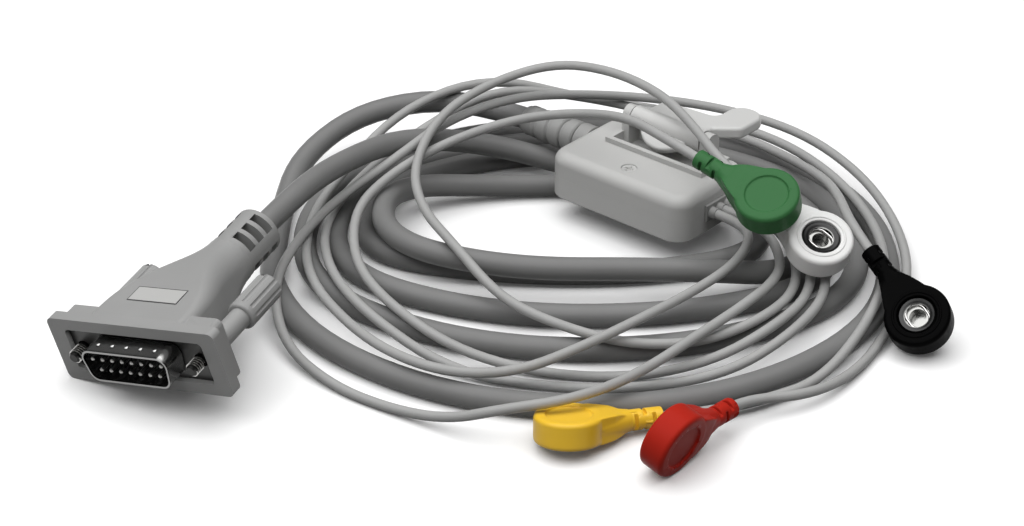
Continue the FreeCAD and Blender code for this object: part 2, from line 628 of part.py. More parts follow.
def make_upper_shell():
    shell = yoke_slab(0, YOKE_SPLIT, YOKE_HEIGHT)
    top = [e for e in shell.Edges if abs(e.BoundBox.ZMin - YOKE_HEIGHT) < 1e-6]
    shell = shell.makeFillet(YOKE_TOP_ROUND, top)
    shell = shell.cut(yoke_slab(YOKE_WALL, YOKE_SPLIT - 1, YOKE_CEILING))
    up = V(0, 0, 1)
    boss = rod(BOSS_RADIUS, V(0, YOKE_SCREW_Y, YOKE_SPLIT), up, YOKE_CEILING - YOKE_SPLIT + BOSS_SINK)
    frame = block(FRAME_X[0], FRAME_X[1], FRAME_Y[0], FRAME_Y[1], YOKE_HEIGHT - 1, YOKE_HEIGHT + FRAME_RISE)
    ears = []
    for side in (-1, 1):
        near = CLIP_X + side * (CLIP_HALF + EAR_GAP)
        far = near + side * EAR_THICKNESS
        x0 = min(near, far)
        post = block(x0, x0 + EAR_THICKNESS, HINGE_Y - EAR_RADIUS, HINGE_Y + EAR_RADIUS,
                     POCKET_FLOOR - BOSS_SINK, HINGE_Z)
        head = rod(EAR_RADIUS, V(x0, HINGE_Y, HINGE_Z), V(1, 0, 0), EAR_THICKNESS)
        ears += [post, head]
    pocket = block(FRAME_X[0] + FRAME_BAR, FRAME_X[1] - FRAME_BAR, FRAME_Y[0] + FRAME_BAR,
                   FRAME_Y[1] - FRAME_BAR, POCKET_FLOOR, YOKE_HEIGHT + FRAME_RISE + 1)
    shell = shell.fuse([boss, frame]).cut(pocket).fuse(ears)
    reach = CLIP_HALF + EAR_GAP + EAR_THICKNESS + 1
    pin_hole = rod(PIN_R + PRESS_FIT, V(CLIP_X - reach, HINGE_Y, HINGE_Z), V(1, 0, 0), 2 * reach)
    screw_hole = rod(SCREW_RADIUS + PRESS_FIT, V(0, YOKE_SCREW_Y, 0), up, YOKE_HEIGHT + 2)
    seat = rod(SCREW_HEAD + SEAT_FIT, V(0, YOKE_SCREW_Y, SCREW_SEAT), up, YOKE_HEIGHT)
    return shell.cut([pin_hole, screw_hole, seat, grommet_block(PRESS_FIT), boot_hole()])


def make_yoke_screw():
    up = V(0, 0, 1)
    shank = rod(SCREW_RADIUS, V(0, YOKE_SCREW_Y, SCREW_END), up, SCREW_SEAT - SCREW_END)
    head = rod(SCREW_HEAD, V(0, YOKE_SCREW_Y, SCREW_SEAT), up, SCREW_HEAD_HEIGHT)
    floor = SCREW_SEAT + CROSS_FLOOR
    slots = []
    for x, y in ((CROSS_WIDTH / 2, CROSS_HALF), (CROSS_HALF, CROSS_WIDTH / 2)):
        slots.append(block(-x, x, YOKE_SCREW_Y - y, YOKE_SCREW_Y + y, floor, SCREW_SEAT + 2))
    return shank.fuse(head).cut(slots)


def make_board():
    reach = YOKE_LENGTH / 2 - YOKE_WALL - BOARD_FIT
    return block(-reach, reach, BOARD_Y[0], BOARD_Y[1], BOARD_BASE, BOARD_BASE + BOARD_THICKNESS)


def make_resistors():
    top = BOARD_BASE + BOARD_THICKNESS
    half = RESISTOR_WIDTH / 2
    x0, x1 = RESISTOR_X
    bodies = [block(x0, x1, y - half, y + half, top, top + RESISTOR_HEIGHT) for y in LEAD_ROWS]
    return Part.makeCompound(bodies)


def make_grommet():
    body = grommet_block(0)
    collars = []
    for y in LEAD_ROWS:
        start = V(GROMMET_FACE - 0.5, y, LEAD_HEIGHT)
        collars.append(rod(COLLAR_RADIUS, start, V(1, 0, 0), COLLAR_FACE - GROMMET_FACE + 0.5))
    return body.fuse(collars).removeSplitter()


def make_yoke_boot():
    inner_face = -YOKE_LENGTH / 2 + YOKE_WALL
    core = rod(BOOT_CORE, V(BOOT_TIP, BOOT_Y, BOOT_Z), V(1, 0, 0), inner_face - BOOT_TIP)
    rings = []
    for i in range(RING_COUNT):
        start = -YOKE_LENGTH / 2 - RING_LENGTH - i * RING_PITCH
        ring = rod(BOOT_RING - RING_STEP * i, V(start, BOOT_Y, BOOT_Z), V(1, 0, 0), RING_LENGTH)
        if i > 0:
            ring = ring.makeChamfer(RING_EDGE, [e for e in ring.Edges if e.Closed and len(e.Vertexes) == 1])
        rings.append(ring)
    bore = rod(TRUNK_RADIUS + CORD_FIT, V(BOOT_TIP - 1, BOOT_Y, BOOT_Z), V(1, 0, 0), BOOT_STOP - BOOT_TIP + 1)
    return core.fuse(rings).cut(bore)


def make_clip_lever():
    axis = V(CLIP_X - CLIP_HALF, HINGE_Y, HINGE_Z)
    barrel = rod(BARREL_RADIUS, axis, V(1, 0, 0), 2 * CLIP_HALF)
    jaw = Part.makeCylinder(JAW_RADIUS, JAW_THICKNESS, V(JAW_X, JAW_RADIUS - JAW_REACH, 0))
    jaw = jaw.makeFillet(JAW_ROUND, [e for e in jaw.Edges if e.Closed and len(e.Vertexes) == 1])
    jaw = jaw.common(block(-CLIP_HALF, CLIP_HALF, -JAW_REACH - 1, 0, -1, JAW_THICKNESS + 1))
    jaw.translate(V(0, 0, -JAW_THICKNESS / 2))
    jaw.rotate(V(0, 0, 0), V(1, 0, 0), JAW_SLOPE)
    jaw.translate(V(CLIP_X, HINGE_Y, HINGE_Z))
    edge = CLIP_HALF - LID_INSET
    near, far = PADDLE_X
    corners = [V(-edge, 0), V(edge, 0), V(edge, LID_CLEAR), V(far, LID_END), V(far, PADDLE_END)]
    corners += [V(near, PADDLE_END), V(near, LID_END + LID_INSET), V(-edge, LID_END)]
    rounds = (0.5, 0.5, 1.0, LID_ROUND, PADDLE_ROUND, PADDLE_ROUND, LID_ROUND, LID_ROUND)
    tongue = prism(rounded_polygon(corners, rounds, flat(0)), V(0, 0, TONGUE_THICKNESS))
    rim = [e for e in tongue.Edges if e.BoundBox.ZLength < 1e-6]
    tongue = tongue.makeFillet(TONGUE_ROUND, rim)
    tongue.translate(V(0, 0, -TONGUE_THICKNESS / 2))
    tongue.rotate(V(0, 0, 0), V(1, 0, 0), -TONGUE_SLOPE)
    tongue.translate(V(CLIP_X, HINGE_Y, HINGE_Z))
    bore = rod(PIN_R + PIN_PLAY, axis - V(1, 0, 0), V(1, 0, 0), 2 * CLIP_HALF + 2)
    room = rod(SPRING_ROOM, V(CLIP_X - SPRING_ROOM_LENGTH / 2, HINGE_Y, HINGE_Z), V(1, 0, 0),
               SPRING_ROOM_LENGTH)
    return barrel.fuse([jaw, tongue]).cut([bore, room])


def make_clip_pin():
    reach = CLIP_HALF + EAR_GAP + EAR_THICKNESS
    return rod(PIN_R, V(CLIP_X - reach, HINGE_Y, HINGE_Z), V(1, 0, 0), 2 * reach)


def make_clip_spring():
    turns = []
    for i in range(SPRING_TURNS):
        x = CLIP_X + (i - (SPRING_TURNS - 1) / 2) * SPRING_PITCH
        start = V(x - SPRING_WIRE, HINGE_Y, HINGE_Z)
        turn = rod(SPRING_COIL + SPRING_WIRE, start, V(1, 0, 0), 2 * SPRING_WIRE)
        turns.append(turn.cut(rod(SPRING_COIL - SPRING_WIRE, start, V(1, 0, 0), 2 * SPRING_WIRE)))
    side = SPRING_COIL / math.sqrt(2)
    rib = block(turns[0].BoundBox.XMin, turns[-1].BoundBox.XMax, HINGE_Y + side - SPRING_WIRE,
                HINGE_Y + side + SPRING_WIRE, HINGE_Z + side - SPRING_WIRE, HINGE_Z + side + SPRING_WIRE)
    return turns[0].fuse(turns[1:] + [rib])


def make_snap_body():
    disc = Part.makeCylinder(DISC_RADIUS, 2 * DISC_HALF, V(0, 0, -DISC_HALF))
    disc = disc.makeFillet(DISC_ROUND, [e for e in disc.Edges if e.Closed and len(e.Vertexes) == 1])
    wires = [rectangle(w, h, r, crosswise(x)) for x, w, h, r in NECK_SECTIONS]
    neck = Part.makeLoft(wires, True, False)
    boot = rod(BOOT_RADIUS, V(BOOT_START, 0, 0), V(1, 0, 0), BOOT_END - BOOT_START)
    body = disc.fuse([neck, boot])
    cuts = [Part.makeCylinder(SOCKET_RADIUS + SOCKET_FIT, 9, V(0, 0, SOCKET_FLOOR))]
    cuts.append(Part.makeCylinder(BACK_RECESS, 2, V(0, 0, -DISC_HALF + BACK_DEPTH - 2)))
    for i, x in enumerate(BOOT_SLOTS):
        for side in (-1, 1):
            slot = block(x - SLOT_WIDTH / 2, x + SLOT_WIDTH / 2, -4, 4, SLOT_CORE, 4)
            slot.rotate(V(0, 0, 0), V(1, 0, 0), 90 * side if i % 2 == 0 else 90 + 90 * side)
            cuts.append(slot)
    return body.cut(cuts)


def make_snap_socket():
    outline = [(0, SOCKET_FLOOR), (SOCKET_RADIUS, SOCKET_FLOOR), (SOCKET_RADIUS, SOCKET_WALL_TOP)]
    outline += SOCKET_LIP
    outline += [(SHELF_RADIUS, SOCKET_SHELF), (STUD_RADIUS, SOCKET_SHELF), (STUD_RADIUS, BORE_FLOOR)]
    outline += [(0, BORE_FLOOR), (0, SOCKET_FLOOR)]
    profile = [V(x, 0, z) for x, z in outline]
    return Part.Face(Part.makePolygon(profile)).revolve(V(0, 0, 0), V(0, 0, 1), 360)


def make_snap_spring():
    z = SOCKET_SHELF + SNAP_WIRE + PRESS_FIT
    x = SNAP_WIRE_X
    y = SNAP_WIRE_Y
    edges = [Part.makeLine(V(-x, -y, z), V(x, -y, z))]
    edges.append(Part.Arc(V(x, -y, z), V(x + y, 0, z), V(x, y, z)).toShape())
    edges.append(Part.makeLine(V(x, y, z), V(-x, y, z)))
    edges.append(Part.Arc(V(-x, y, z), V(-x - y, 0, z), V(-x, -y, z)).toShape())
    ring = Part.Wire([Part.Circle(V(-x, -y, z), V(1, 0, 0), SNAP_WIRE).toShape()])
    return Part.Wire(edges).makePipeShell([ring], True, False)


def save(name, shape, placement=None):
    placed = shape.copy()
    if placement is not None:
        placed.Placement = placement.multiply(placed.Placement)
    placed.translate(FRAME_ORIGIN * -1)
    placed.exportStep("parts/%s.step" % name)
    return placed


on_connector = connector_placement()
on_yoke = yoke_placement()
rigid = []
rigid.append(save("connector_hood", make_hood(), on_connector))
rigid.append(save("front_shell", make_front_shell(), on_connector))
rigid.append(save("rear_shell", make_rear_shell(), on_connector))
rigid.append(save("contact_insulator", make_insulator(), on_connector))
rigid.append(save("contact_pins", make_contacts(), on_connector))
rigid.append(save("cable_ferrule", make_ferrule(), on_connector))
for hand, side in (("left", -1), ("right", 1)):
    rigid.append(save("%s_jackscrew" % hand, make_jackscrew(side), on_connector))
    rigid.append(save("%s_knob" % hand, make_knob(side), on_connector))
rigid.append(save("yoke_lower_shell", make_lower_shell(), on_yoke))
rigid.append(save("yoke_upper_shell", make_upper_shell(), on_yoke))
rigid.append(save("yoke_screw", make_yoke_screw(), on_yoke))
rigid.append(save("yoke_board", make_board(), on_yoke))
rigid.append(save("lead_resistors", make_resistors(), on_yoke))
rigid.append(save("lead_grommet", make_grommet(), on_yoke))
rigid.append(save("yoke_boot", make_yoke_boot(), on_yoke))
rigid.append(save("clip_lever", make_clip_lever(), on_yoke))
rigid.append(save("clip_pin", make_clip_pin(), on_yoke))
rigid.append(save("clip_spring", make_clip_spring(), on_yoke))
for colour in SNAPS:
    on_snap = snap_placement(colour)
    rigid.append(save("%s_snap_body" % colour, make_snap_body(), on_snap))
    rigid.append(save("%s_snap_socket" % colour, make_snap_socket(), on_snap))
    rigid.append(save("%s_snap_spring" % colour, make_snap_spring(), on_snap))

coil, coil_start, coil_end = trunk_coil()
save("trunk_coil", coil)
trunk_in = [on_connector.multVec(V(0, y, 0)) for y in (CABLE_STOP, RELIEF_END + CABLE_RUN)]
trunk_in += [V(*p) for p in TRUNK_IN] + [coil_start]
save("trunk_connector_end", cord("trunk_connector_end", trunk_in, TRUNK_RADIUS))
trunk_out = [coil_end] + [V(*p) for p in TRUNK_OUT]
trunk_out += [on_yoke.multVec(V(x, BOOT_Y, BOOT_Z)) for x in (BOOT_TIP - BOOT_RUN, BOOT_STOP)]
save("trunk_yoke_end", cord("trunk_yoke_end", trunk_out, TRUNK_RADIUS))
for row, (colour, (run_out, run_in, middle)) in zip(LEAD_ROWS, LEADS.items()):
    points = [on_yoke.multVec(V(COLLAR_FACE + run, row, LEAD_HEIGHT)) for run in (0, run_out)]
    points += [V(*p) for p in middle]
    points += [snap_placement(colour).multVec(V(BOOT_END + run, 0, 0)) for run in (run_in, 0)]
    save("%s_lead" % colour, cord("%s_lead" % colour, points, LEAD_RADIUS))

box = FreeCAD.BoundBox()
for shape in rigid:
    box.add(shape.BoundBox)
    if not shape.isValid():
        print("not valid", shape)
print("rigid pieces x %.2f to %.2f, y %.2f to %.2f, z %.2f to %.2f, middle %.2f %.2f" % (
    box.XMin, box.XMax, box.YMin, box.YMax, box.ZMin, box.ZMax, box.Center.x, box.Center.y))
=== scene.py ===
"""Looks of a coiled five-lead patient cable, built round its CAD frame in metres."""
import json
import math

import bpy
from mathutils import Matrix, Vector

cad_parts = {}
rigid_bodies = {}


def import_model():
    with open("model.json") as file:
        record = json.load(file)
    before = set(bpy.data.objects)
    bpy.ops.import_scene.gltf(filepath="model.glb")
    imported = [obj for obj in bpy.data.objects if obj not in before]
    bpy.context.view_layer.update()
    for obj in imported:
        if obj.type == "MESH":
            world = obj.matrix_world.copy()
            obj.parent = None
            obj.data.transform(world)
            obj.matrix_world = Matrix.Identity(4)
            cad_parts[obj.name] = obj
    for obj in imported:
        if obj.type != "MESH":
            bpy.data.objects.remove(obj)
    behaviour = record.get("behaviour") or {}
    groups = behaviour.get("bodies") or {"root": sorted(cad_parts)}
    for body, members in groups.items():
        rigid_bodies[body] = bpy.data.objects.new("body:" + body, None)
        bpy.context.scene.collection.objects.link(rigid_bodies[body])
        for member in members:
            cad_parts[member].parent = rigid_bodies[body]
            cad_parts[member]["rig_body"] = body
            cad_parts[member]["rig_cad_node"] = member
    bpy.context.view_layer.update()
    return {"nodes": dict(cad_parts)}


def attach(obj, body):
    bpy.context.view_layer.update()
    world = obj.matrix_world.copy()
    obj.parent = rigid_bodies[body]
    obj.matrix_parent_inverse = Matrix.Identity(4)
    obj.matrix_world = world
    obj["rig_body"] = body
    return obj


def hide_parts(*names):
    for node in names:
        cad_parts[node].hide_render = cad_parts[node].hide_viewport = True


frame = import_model()

bl_info = {
    "name": "Patient Cable",
    "version": (1, 0, 0),
    "blender": (4, 5, 0),
    "location": "View3D > Sidebar > Patient Cable",
    "description": "Builds the cords, mouldings and finishes of a coiled five-lead patient cable",
    "category": "Add Mesh",
}

# The bench point under the middle of the picture, in the row frame.
BENCH = Vector((0.001267, 0.021055, 0.0))

# Where the connector lies: its own axes are x across, y rearward and z up.
HOOD_PLACE = Vector((-0.083, -0.0637, 0.012615))
HOOD_YAW = math.radians(-27.5)
HOOD_PITCH = math.radians(8.5)
HOOD_ROLL = math.radians(-11.5)
HOOD = Matrix.Translation(BENCH + HOOD_PLACE) @ Matrix.Rotation(HOOD_YAW, 4, "Z")
HOOD = HOOD @ Matrix.Rotation(HOOD_PITCH, 4, "X") @ Matrix.Rotation(HOOD_ROLL, 4, "Y")

# Where the yoke lies: its own axes are x from boot to outlet, y across and z up.
YOKE_PLACE = Vector((0.0342, 0.0209, 0.0062))
YOKE_YAW = math.radians(-41.0)
YOKE = Matrix.Translation(BENCH + YOKE_PLACE) @ Matrix.Rotation(YOKE_YAW, 4, "Z")

# Connector: lip, shell, jackscrews and cable entry.
HOOD_TOP = 0.0085
LIP_SIDE = 0.0219
LIP_BACK = 0.003
LIP_SLACK = 0.0002
LIP_SHARPNESS = math.radians(40.0)
LIP_SEGMENTS = 4
SHELL_MOUTH = -0.0048
PLATE_FRONT = 0.0014
JACK_PITCH = 0.03332
JACK_RADIUS = 0.00142
CABLE_STOP = 0.030
RELIEF_END = 0.0505
CABLE_RUN = 0.0115

# Where the front shell's finish changes and its painted shade begins: behind its mouth and in front of its
# flange plate.
MOUTH_SHADE_BAND = (SHELL_MOUTH + 0.00025, SHELL_MOUTH + 0.0008)
PLATE_SHADE_BAND = (PLATE_FRONT - 0.0006, PLATE_FRONT - 0.0002)

# Thread ridges on the tips of the jackscrews.
THREAD_START = -0.0025
THREAD_PITCH = 0.000635
THREAD_TURNS = 5
THREAD_STEPS = 24
RIDGE_RADIUS = 0.00024
RIDGE_SIDES = 3

# Bare label: its middle on the hood, its thickness, the width of its edge and how far it sinks in.
LABEL_PLACE = (0.0004, 0.0119)
LABEL_THICKNESS = 0.00012
LABEL_EDGE = 0.00022
LABEL_SINK = 0.00002

# Yoke: outlet for the leads and boot for the trunk.
COLLAR_FACE = 0.024
LEAD_HEIGHT = 0.006
LEAD_ROWS = {"yellow": -0.003, "red": 0.0, "white": 0.003, "green": 0.006, "black": 0.009}
BOOT_Y = 0.0045
BOOT_Z = 0.007
BOOT_STOP = -0.0375
BOOT_RUN = -0.063

# Snaps: middle of the disc, heading of the boot and heading of the socket.
SNAPS = {
    "green": ((0.0600, -0.0195, 0.0280), (-0.72, 0.673, 0.172), (0.11, 0.478, -0.87)),
    "white": ((0.0726, -0.0207, 0.0172), (-0.703, 0.615, 0.358), (0.154, -0.504, 0.849)),
    "black": ((0.0942, -0.0400, 0.0080), (-0.45, 0.806, 0.385), (-0.32, -0.548, 0.773)),
    "yellow": ((0.0124, -0.0800, 0.00485), (0.95, 0.30, -0.075), (0.0, -0.242, -0.97)),
    "red": ((0.0345, -0.0900, 0.0082), (0.634, 0.763, -0.12), (-0.72, 0.652, 0.23)),
}
SNAP_GLOSS = {"green": 0.1, "white": 0.22, "black": 0.015, "yellow": 0.3, "red": 0.03}
SNAP_BOOT_END = 0.0215
SNAP_NECK_END = 0.0138
DISC_HALF = 0.0032

# Web that brings a snap's neck flush with its disc: reach along the boot, half width and half height.
SNAP_WEB = (
    (0.0054, 0.0055, 0.00312), (0.0064, 0.00515, 0.00312), (0.0074, 0.00475, 0.00308),
    (0.0084, 0.00435, 0.0030), (0.0094, 0.00395, 0.00292), (0.0104, 0.0034, 0.0028),
    (0.0114, 0.0029, 0.00255), (0.0124, 0.0023, 0.0022), (0.0134, 0.0017, 0.0017))

# How far a snap's creases are smoothed: all over, and again on its disc and neck.
FLOW_FACTOR = 0.5
SNAP_PASSES = 3
DISC_PASSES = 22

# Snap socket, its bright cup with painted shade on the flange round it, and the low rim round it.
SOCKET_SHELF = 0.0015
CUP_SHADE_BAND = (0.0030, 0.0034)
RIM_RADIUS = 0.0056
RIM_PROFILE = 0.00032
RIM_SIDES = 10
RIM_SQUASH = 0.7
RIM_STEPS = 64

# Trunk: out of the hood, five loose turns, then up to the yoke. Points are on the bench's own axes.
TRUNK_IN = (
    (-0.044, 0.012, 0.021), (-0.028, 0.036, 0.0165), (-0.005, 0.046, 0.0095), (0.019, 0.0436, 0.0029),
    (0.039, 0.041, 0.0029), (0.0545, 0.0355, 0.0029), (0.0655, 0.0255, 0.0029), (0.0705, 0.013, 0.0029),
)
TRUNK_OUT = (
    (-0.0585, 0.02, 0.0029), (-0.055, 0.042, 0.008), (-0.038, 0.061, 0.0125),
)
COIL_X = 0.017
COIL_LOW = 0.0029
COIL_HIGH = 0.0093
REACH_RIGHT = (0.0535, 0.045, 0.061, 0.068, 0.075)
REACH_FRONT = (0.019, 0.010, 0.030, 0.045, 0.069)
REACH_LEFT = (0.049, 0.054, 0.061, 0.0685, 0.0755)
REACH_BACK = (0.035, 0.0525, 0.060, 0.068)
SIDE_RIGHT = (0.0, 0.011, 0.003, 0.002, 0.0)
SIDE_LEFT = (0.010, 0.013, 0.011, 0.008, 0.0)

# Where a quarter turn's points lie: on its end tangents, as a share of its shorter side with an
# addition for an uneven quarter, and on the chord between the tangents' ends.
TURN_SHARE = 0.414
TURN_EXCESS = 0.25
CHORD_SHARES = (0.25, 0.75)

# Headings on the bench, as the camera sees it.
FRONTWARD = Vector((0.0, -1.0, 0.0))
LEFTWARD = Vector((-1.0, 0.0, 0.0))
BACKWARD = Vector((0.0, 1.0, 0.0))
RIGHTWARD = Vector((1.0, 0.0, 0.0))

# Each lead: straight run out of the yoke, straight run into its snap, points between on the bench's axes.
LEADS = {
    "yellow": (0.008, 0.012, (
        (0.0575, -0.011, 0.0123), (0.052, -0.022, 0.0115), (0.041, -0.033, 0.0105), (0.029, -0.045, 0.011),
        (0.016, -0.055, 0.01), (0.002, -0.0615, 0.0075), (-0.012, -0.0635, 0.008), (-0.025, -0.057, 0.008),
        (-0.037, -0.043, 0.0075), (-0.049, -0.02, 0.0075), (-0.051, 0.006, 0.0075), (-0.044, 0.032, 0.008),
        (-0.029, 0.054, 0.0158), (-0.006, 0.068, 0.0185), (0.02, 0.071, 0.01), (0.046, 0.068, 0.0075),
        (0.069, 0.054, 0.0075), (0.083, 0.032, 0.0075), (0.09, 0.007, 0.0075), (0.09, -0.018, 0.008),
        (0.082, -0.041, 0.007), (0.07, -0.057, 0.002), (0.057, -0.0645, 0.002))),
    "red": (0.012, 0.006, (
        (0.065, -0.014, 0.009), (0.062, -0.026, 0.01), (0.0525, -0.0385, 0.01), (0.042, -0.049, 0.009),
        (0.032, -0.06, 0.0085), (0.022, -0.0705, 0.0093), (0.011, -0.0777, 0.0101),
        (-0.002, -0.079, 0.0088), (-0.014, -0.075, 0.0035), (-0.027, -0.0675, 0.0012),
        (-0.041, -0.058, 0.0014), (-0.053, -0.043, 0.003), (-0.057, -0.023, 0.0075),
        (-0.052, -0.005, 0.01), (-0.043, 0.011, 0.0125), (-0.0304, 0.0244, 0.0155), (-0.017, 0.0385, 0.02),
        (0.0, 0.05, 0.021), (0.017, 0.059, 0.0175), (0.037, 0.067, 0.0125), (0.058, 0.065, 0.01),
        (0.077, 0.054, 0.0085), (0.09, 0.036, 0.006), (0.096, 0.013, 0.005), (0.0965, -0.011, 0.0045),
        (0.0905, -0.03, 0.0022), (0.08, -0.051, 0.0013), (0.067, -0.0655, 0.0038))),
    "white": (0.012, 0.01, (
        (0.0685, -0.012, 0.009), (0.067, -0.027, 0.0075), (0.057, -0.04, 0.0075), (0.043, -0.0465, 0.0055),
        (0.026, -0.0485, 0.0065), (0.01, -0.043, 0.0085), (-0.003, -0.031, 0.0085),
        (-0.014, -0.016, 0.0145), (-0.022, 0.001, 0.0145), (-0.025, 0.018, 0.017), (-0.019, 0.035, 0.023),
        (-0.006, 0.047, 0.0265), (0.011, 0.053, 0.0295), (0.026, 0.045, 0.031), (0.038, 0.031, 0.031),
        (0.045, 0.016, 0.0295))),
    "green": (0.012, 0.011, (
        (0.072, -0.0105, 0.009), (0.0705, -0.028, 0.0075), (0.06, -0.043, 0.0075), (0.046, -0.0515, 0.004),
        (0.028, -0.0545, 0.0012), (0.007, -0.053, 0.0012), (-0.013, -0.047, 0.004),
        (-0.029, -0.033, 0.008), (-0.038, -0.015, 0.009), (-0.039, 0.005, 0.012), (-0.031, 0.019, 0.0145),
        (-0.017, 0.03, 0.018), (0.0, 0.033, 0.023), (0.015, 0.027, 0.028), (0.028, 0.017, 0.032))),
    "black": (0.012, 0.009, (
        (0.075, -0.009, 0.009), (0.0745, -0.028, 0.0075), (0.064, -0.046, 0.0075), (0.049, -0.0555, 0.003),
        (0.029, -0.059, 0.0012), (0.008, -0.0585, 0.0012), (-0.014, -0.053, 0.002),
        (-0.033, -0.038, 0.0075), (-0.044, -0.017, 0.0075), (-0.047, 0.006, 0.0075), (-0.04, 0.028, 0.008),
        (-0.026, 0.046, 0.012), (-0.005, 0.059, 0.0195), (0.018, 0.065, 0.014), (0.041, 0.064, 0.009),
        (0.061, 0.054, 0.0075), (0.074, 0.037, 0.0085), (0.079, 0.02, 0.0125), (0.08, 0.003, 0.017))),
}

# Steps along a cord for each of its points, and how round a cord is drawn.
CORD_STEPS = 6
TRUNK_ROUNDNESS = 6
LEAD_ROUNDNESS = 4

# Limits that the mouldings' meshes are worked to.
MERGE_GAP = 0.000004
LEVEL_SLACK = 0.0001
FLAT_ANGLE = math.radians(1.0)
SHARP_ANGLE = math.radians(38.0)
RIGHT_ANGLE = math.radians(90.0)
EDGE_SEGMENTS = 2

# Plastics: depth of the grain, and shine.
COARSE_GRAIN = 0.00003
MEDIUM_GRAIN = 0.00002
FINE_GRAIN = 0.00001
POLISHED_GRAIN = 0.000008
MOULD_GLOSS = 0.35
JACKET_GLOSS = 0.22

# Noise: its middle value, and the lay that leaves it undrawn.
NOISE_MIDDLE = 0.5
EVEN_LAY = (1.0, 1.0, 1.0)

# Shades of the metals and of the pieces that hardly show.
# Painted shade: the jackscrews' plating is near black so the valleys between their thread ridges look
# shaded.
SCREW_SHADED_PLATING = (0.035, 0.035, 0.034)
SHELL_TIN = (0.40, 0.40, 0.395)
# Painted shade on the front shell's mouth and on its flange plate, darker than its tin.
SHELL_RIM_SHADE = (0.24, 0.24, 0.237)
SHELL_PLATE_SHADE = (0.06, 0.06, 0.059)
REAR_TIN = (0.30, 0.30, 0.295)
CONTACT_TIN = (0.28, 0.28, 0.27)
STEEL = (0.55, 0.545, 0.53)
ZINC = (0.86, 0.86, 0.85)
SPRING_WIRE = (0.62, 0.61, 0.60)
CUP_METAL = (0.34, 0.34, 0.33)
# Painted shade on the flange round a snap's socket cup.
CUP_FLANGE_SHADE = (0.05, 0.05, 0.05)
INSULATOR = (0.012, 0.012, 0.0125)
LAMINATE = (0.02, 0.12, 0.04)
RESISTOR_GLAZE = (0.45, 0.30, 0.14)
# Dark outline round the edge of the bare label.
LABEL_OUTLINE = (0.07, 0.07, 0.07)

# Stage: the floor as the camera sees it and as it lights the object, the world, and each lamp's
# place, width and power.
FLOOR_SIZE = 12.0
FLOOR_SEEN = (1.0, 1.0, 1.0, 1.0)
FLOOR_BOUNCE = (0.11, 0.11, 0.11, 1.0)
FLOOR_GLOW = 0.04
FLOOR_ROUGHNESS = 0.9
WORLD_COLOUR = (1.0, 1.0, 1.0, 1.0)
WORLD_STRENGTH = 0.08
LAMPS = {"key": ((-0.08, -0.10, 1.0), 1.6, 19.0), "side": ((-0.7, -0.45, 0.75), 0.9, 1.6)}

# Camera: the picture's width and the focal length in pixels, the sensor in millimetres, and how far
# from the bench point and at what tilt from straight down it looks.
PICTURE_WIDTH = 1024.0
FOCAL_LENGTH = 2500.0
SENSOR_WIDTH = 36.0
CAMERA_REACH = 0.61728
CAMERA_TILT = math.radians(60.0)
CAMERA_NEAR = 0.01


def colour(name, description, default):
    return bpy.props.FloatVectorProperty(
        name=name, description=description, default=default, size=3, min=0.0, max=1.0, subtype="COLOR")


def length(name, description, default):
    return bpy.props.FloatProperty(
        name=name, description=description, default=default, min=0.0, precision=5, unit="LENGTH")


class CableSizes(bpy.types.PropertyGroup):
    trunk_diameter: length("Trunk", "Outside diameter of the trunk's jacket", 0.0058)
    lead_diameter: length("Lead", "Outside diameter of a lead's jacket", 0.0024)
    lip_round: length("Lip round", "Radius left on the outer edges of the hood's lip", 0.0008)
    edge_round: length("Edge round", "Radius left on the other edges of the hood", 0.0003)
    fine_round: length("Fine round", "Radius left on the edges of the knobs, yoke and clip", 0.00022)
    snap_grain: length("Snap grain", "Mesh step that a snap's creases are run together at", 0.00016)
    label_width: length("Label width", "Width of the bare label on the hood", 0.0140)
    label_depth: length("Label depth", "Depth of the bare label on the hood", 0.0052)


class CableColours(bpy.types.PropertyGroup):
    hood: colour("Hood", "Moulded connector hood and knobs", (0.305, 0.305, 0.302))
    trunk: colour("Trunk", "Trunk jacket", (0.195, 0.195, 0.193))
    lead: colour("Lead", "Lead jackets", (0.37, 0.37, 0.365))
    yoke: colour("Yoke", "Yoke shells", (0.52, 0.52, 0.51))
    rubber: colour("Rubber", "Boot and outlet", (0.31, 0.31, 0.305))
    clip: colour("Clip", "Garment clip", (0.58, 0.58, 0.57))
    label: colour("Label", "Bare label", (0.46, 0.46, 0.45))
    red: colour("Red", "Red snap", (0.42, 0.022, 0.013))
    white: colour("White", "White snap", (0.78, 0.78, 0.77))
    green: colour("Green", "Green snap", (0.04, 0.145, 0.05))
    black: colour("Black", "Black snap", (0.002, 0.002, 0.0021))
    yellow: colour("Yellow", "Yellow snap", (0.86, 0.53, 0.035))


class Signal:
    """A shader socket that takes part in Python arithmetic."""

    def __init__(self, finish, socket):
        self.finish = finish
        self.socket = socket

    def joined(self, operation, first, second):
        made = self.finish.node("ShaderNodeMath", {"operation": operation}, {0: first, 1: second})
        return Signal(self.finish, made.outputs[0])

    def __add__(self, other):
        return self.joined("ADD", self, other)

    def __sub__(self, other):
        return self.joined("SUBTRACT", self, other)

    def __rsub__(self, other):
        return self.joined("SUBTRACT", other, self)

    def __mul__(self, other):
        return self.joined("MULTIPLY", self, other)

    __radd__ = __add__
    __rmul__ = __mul__

    def swing(self, amount):
        """A noise as a change either way, of half the amount at most."""
        return (self - NOISE_MIDDLE) * amount


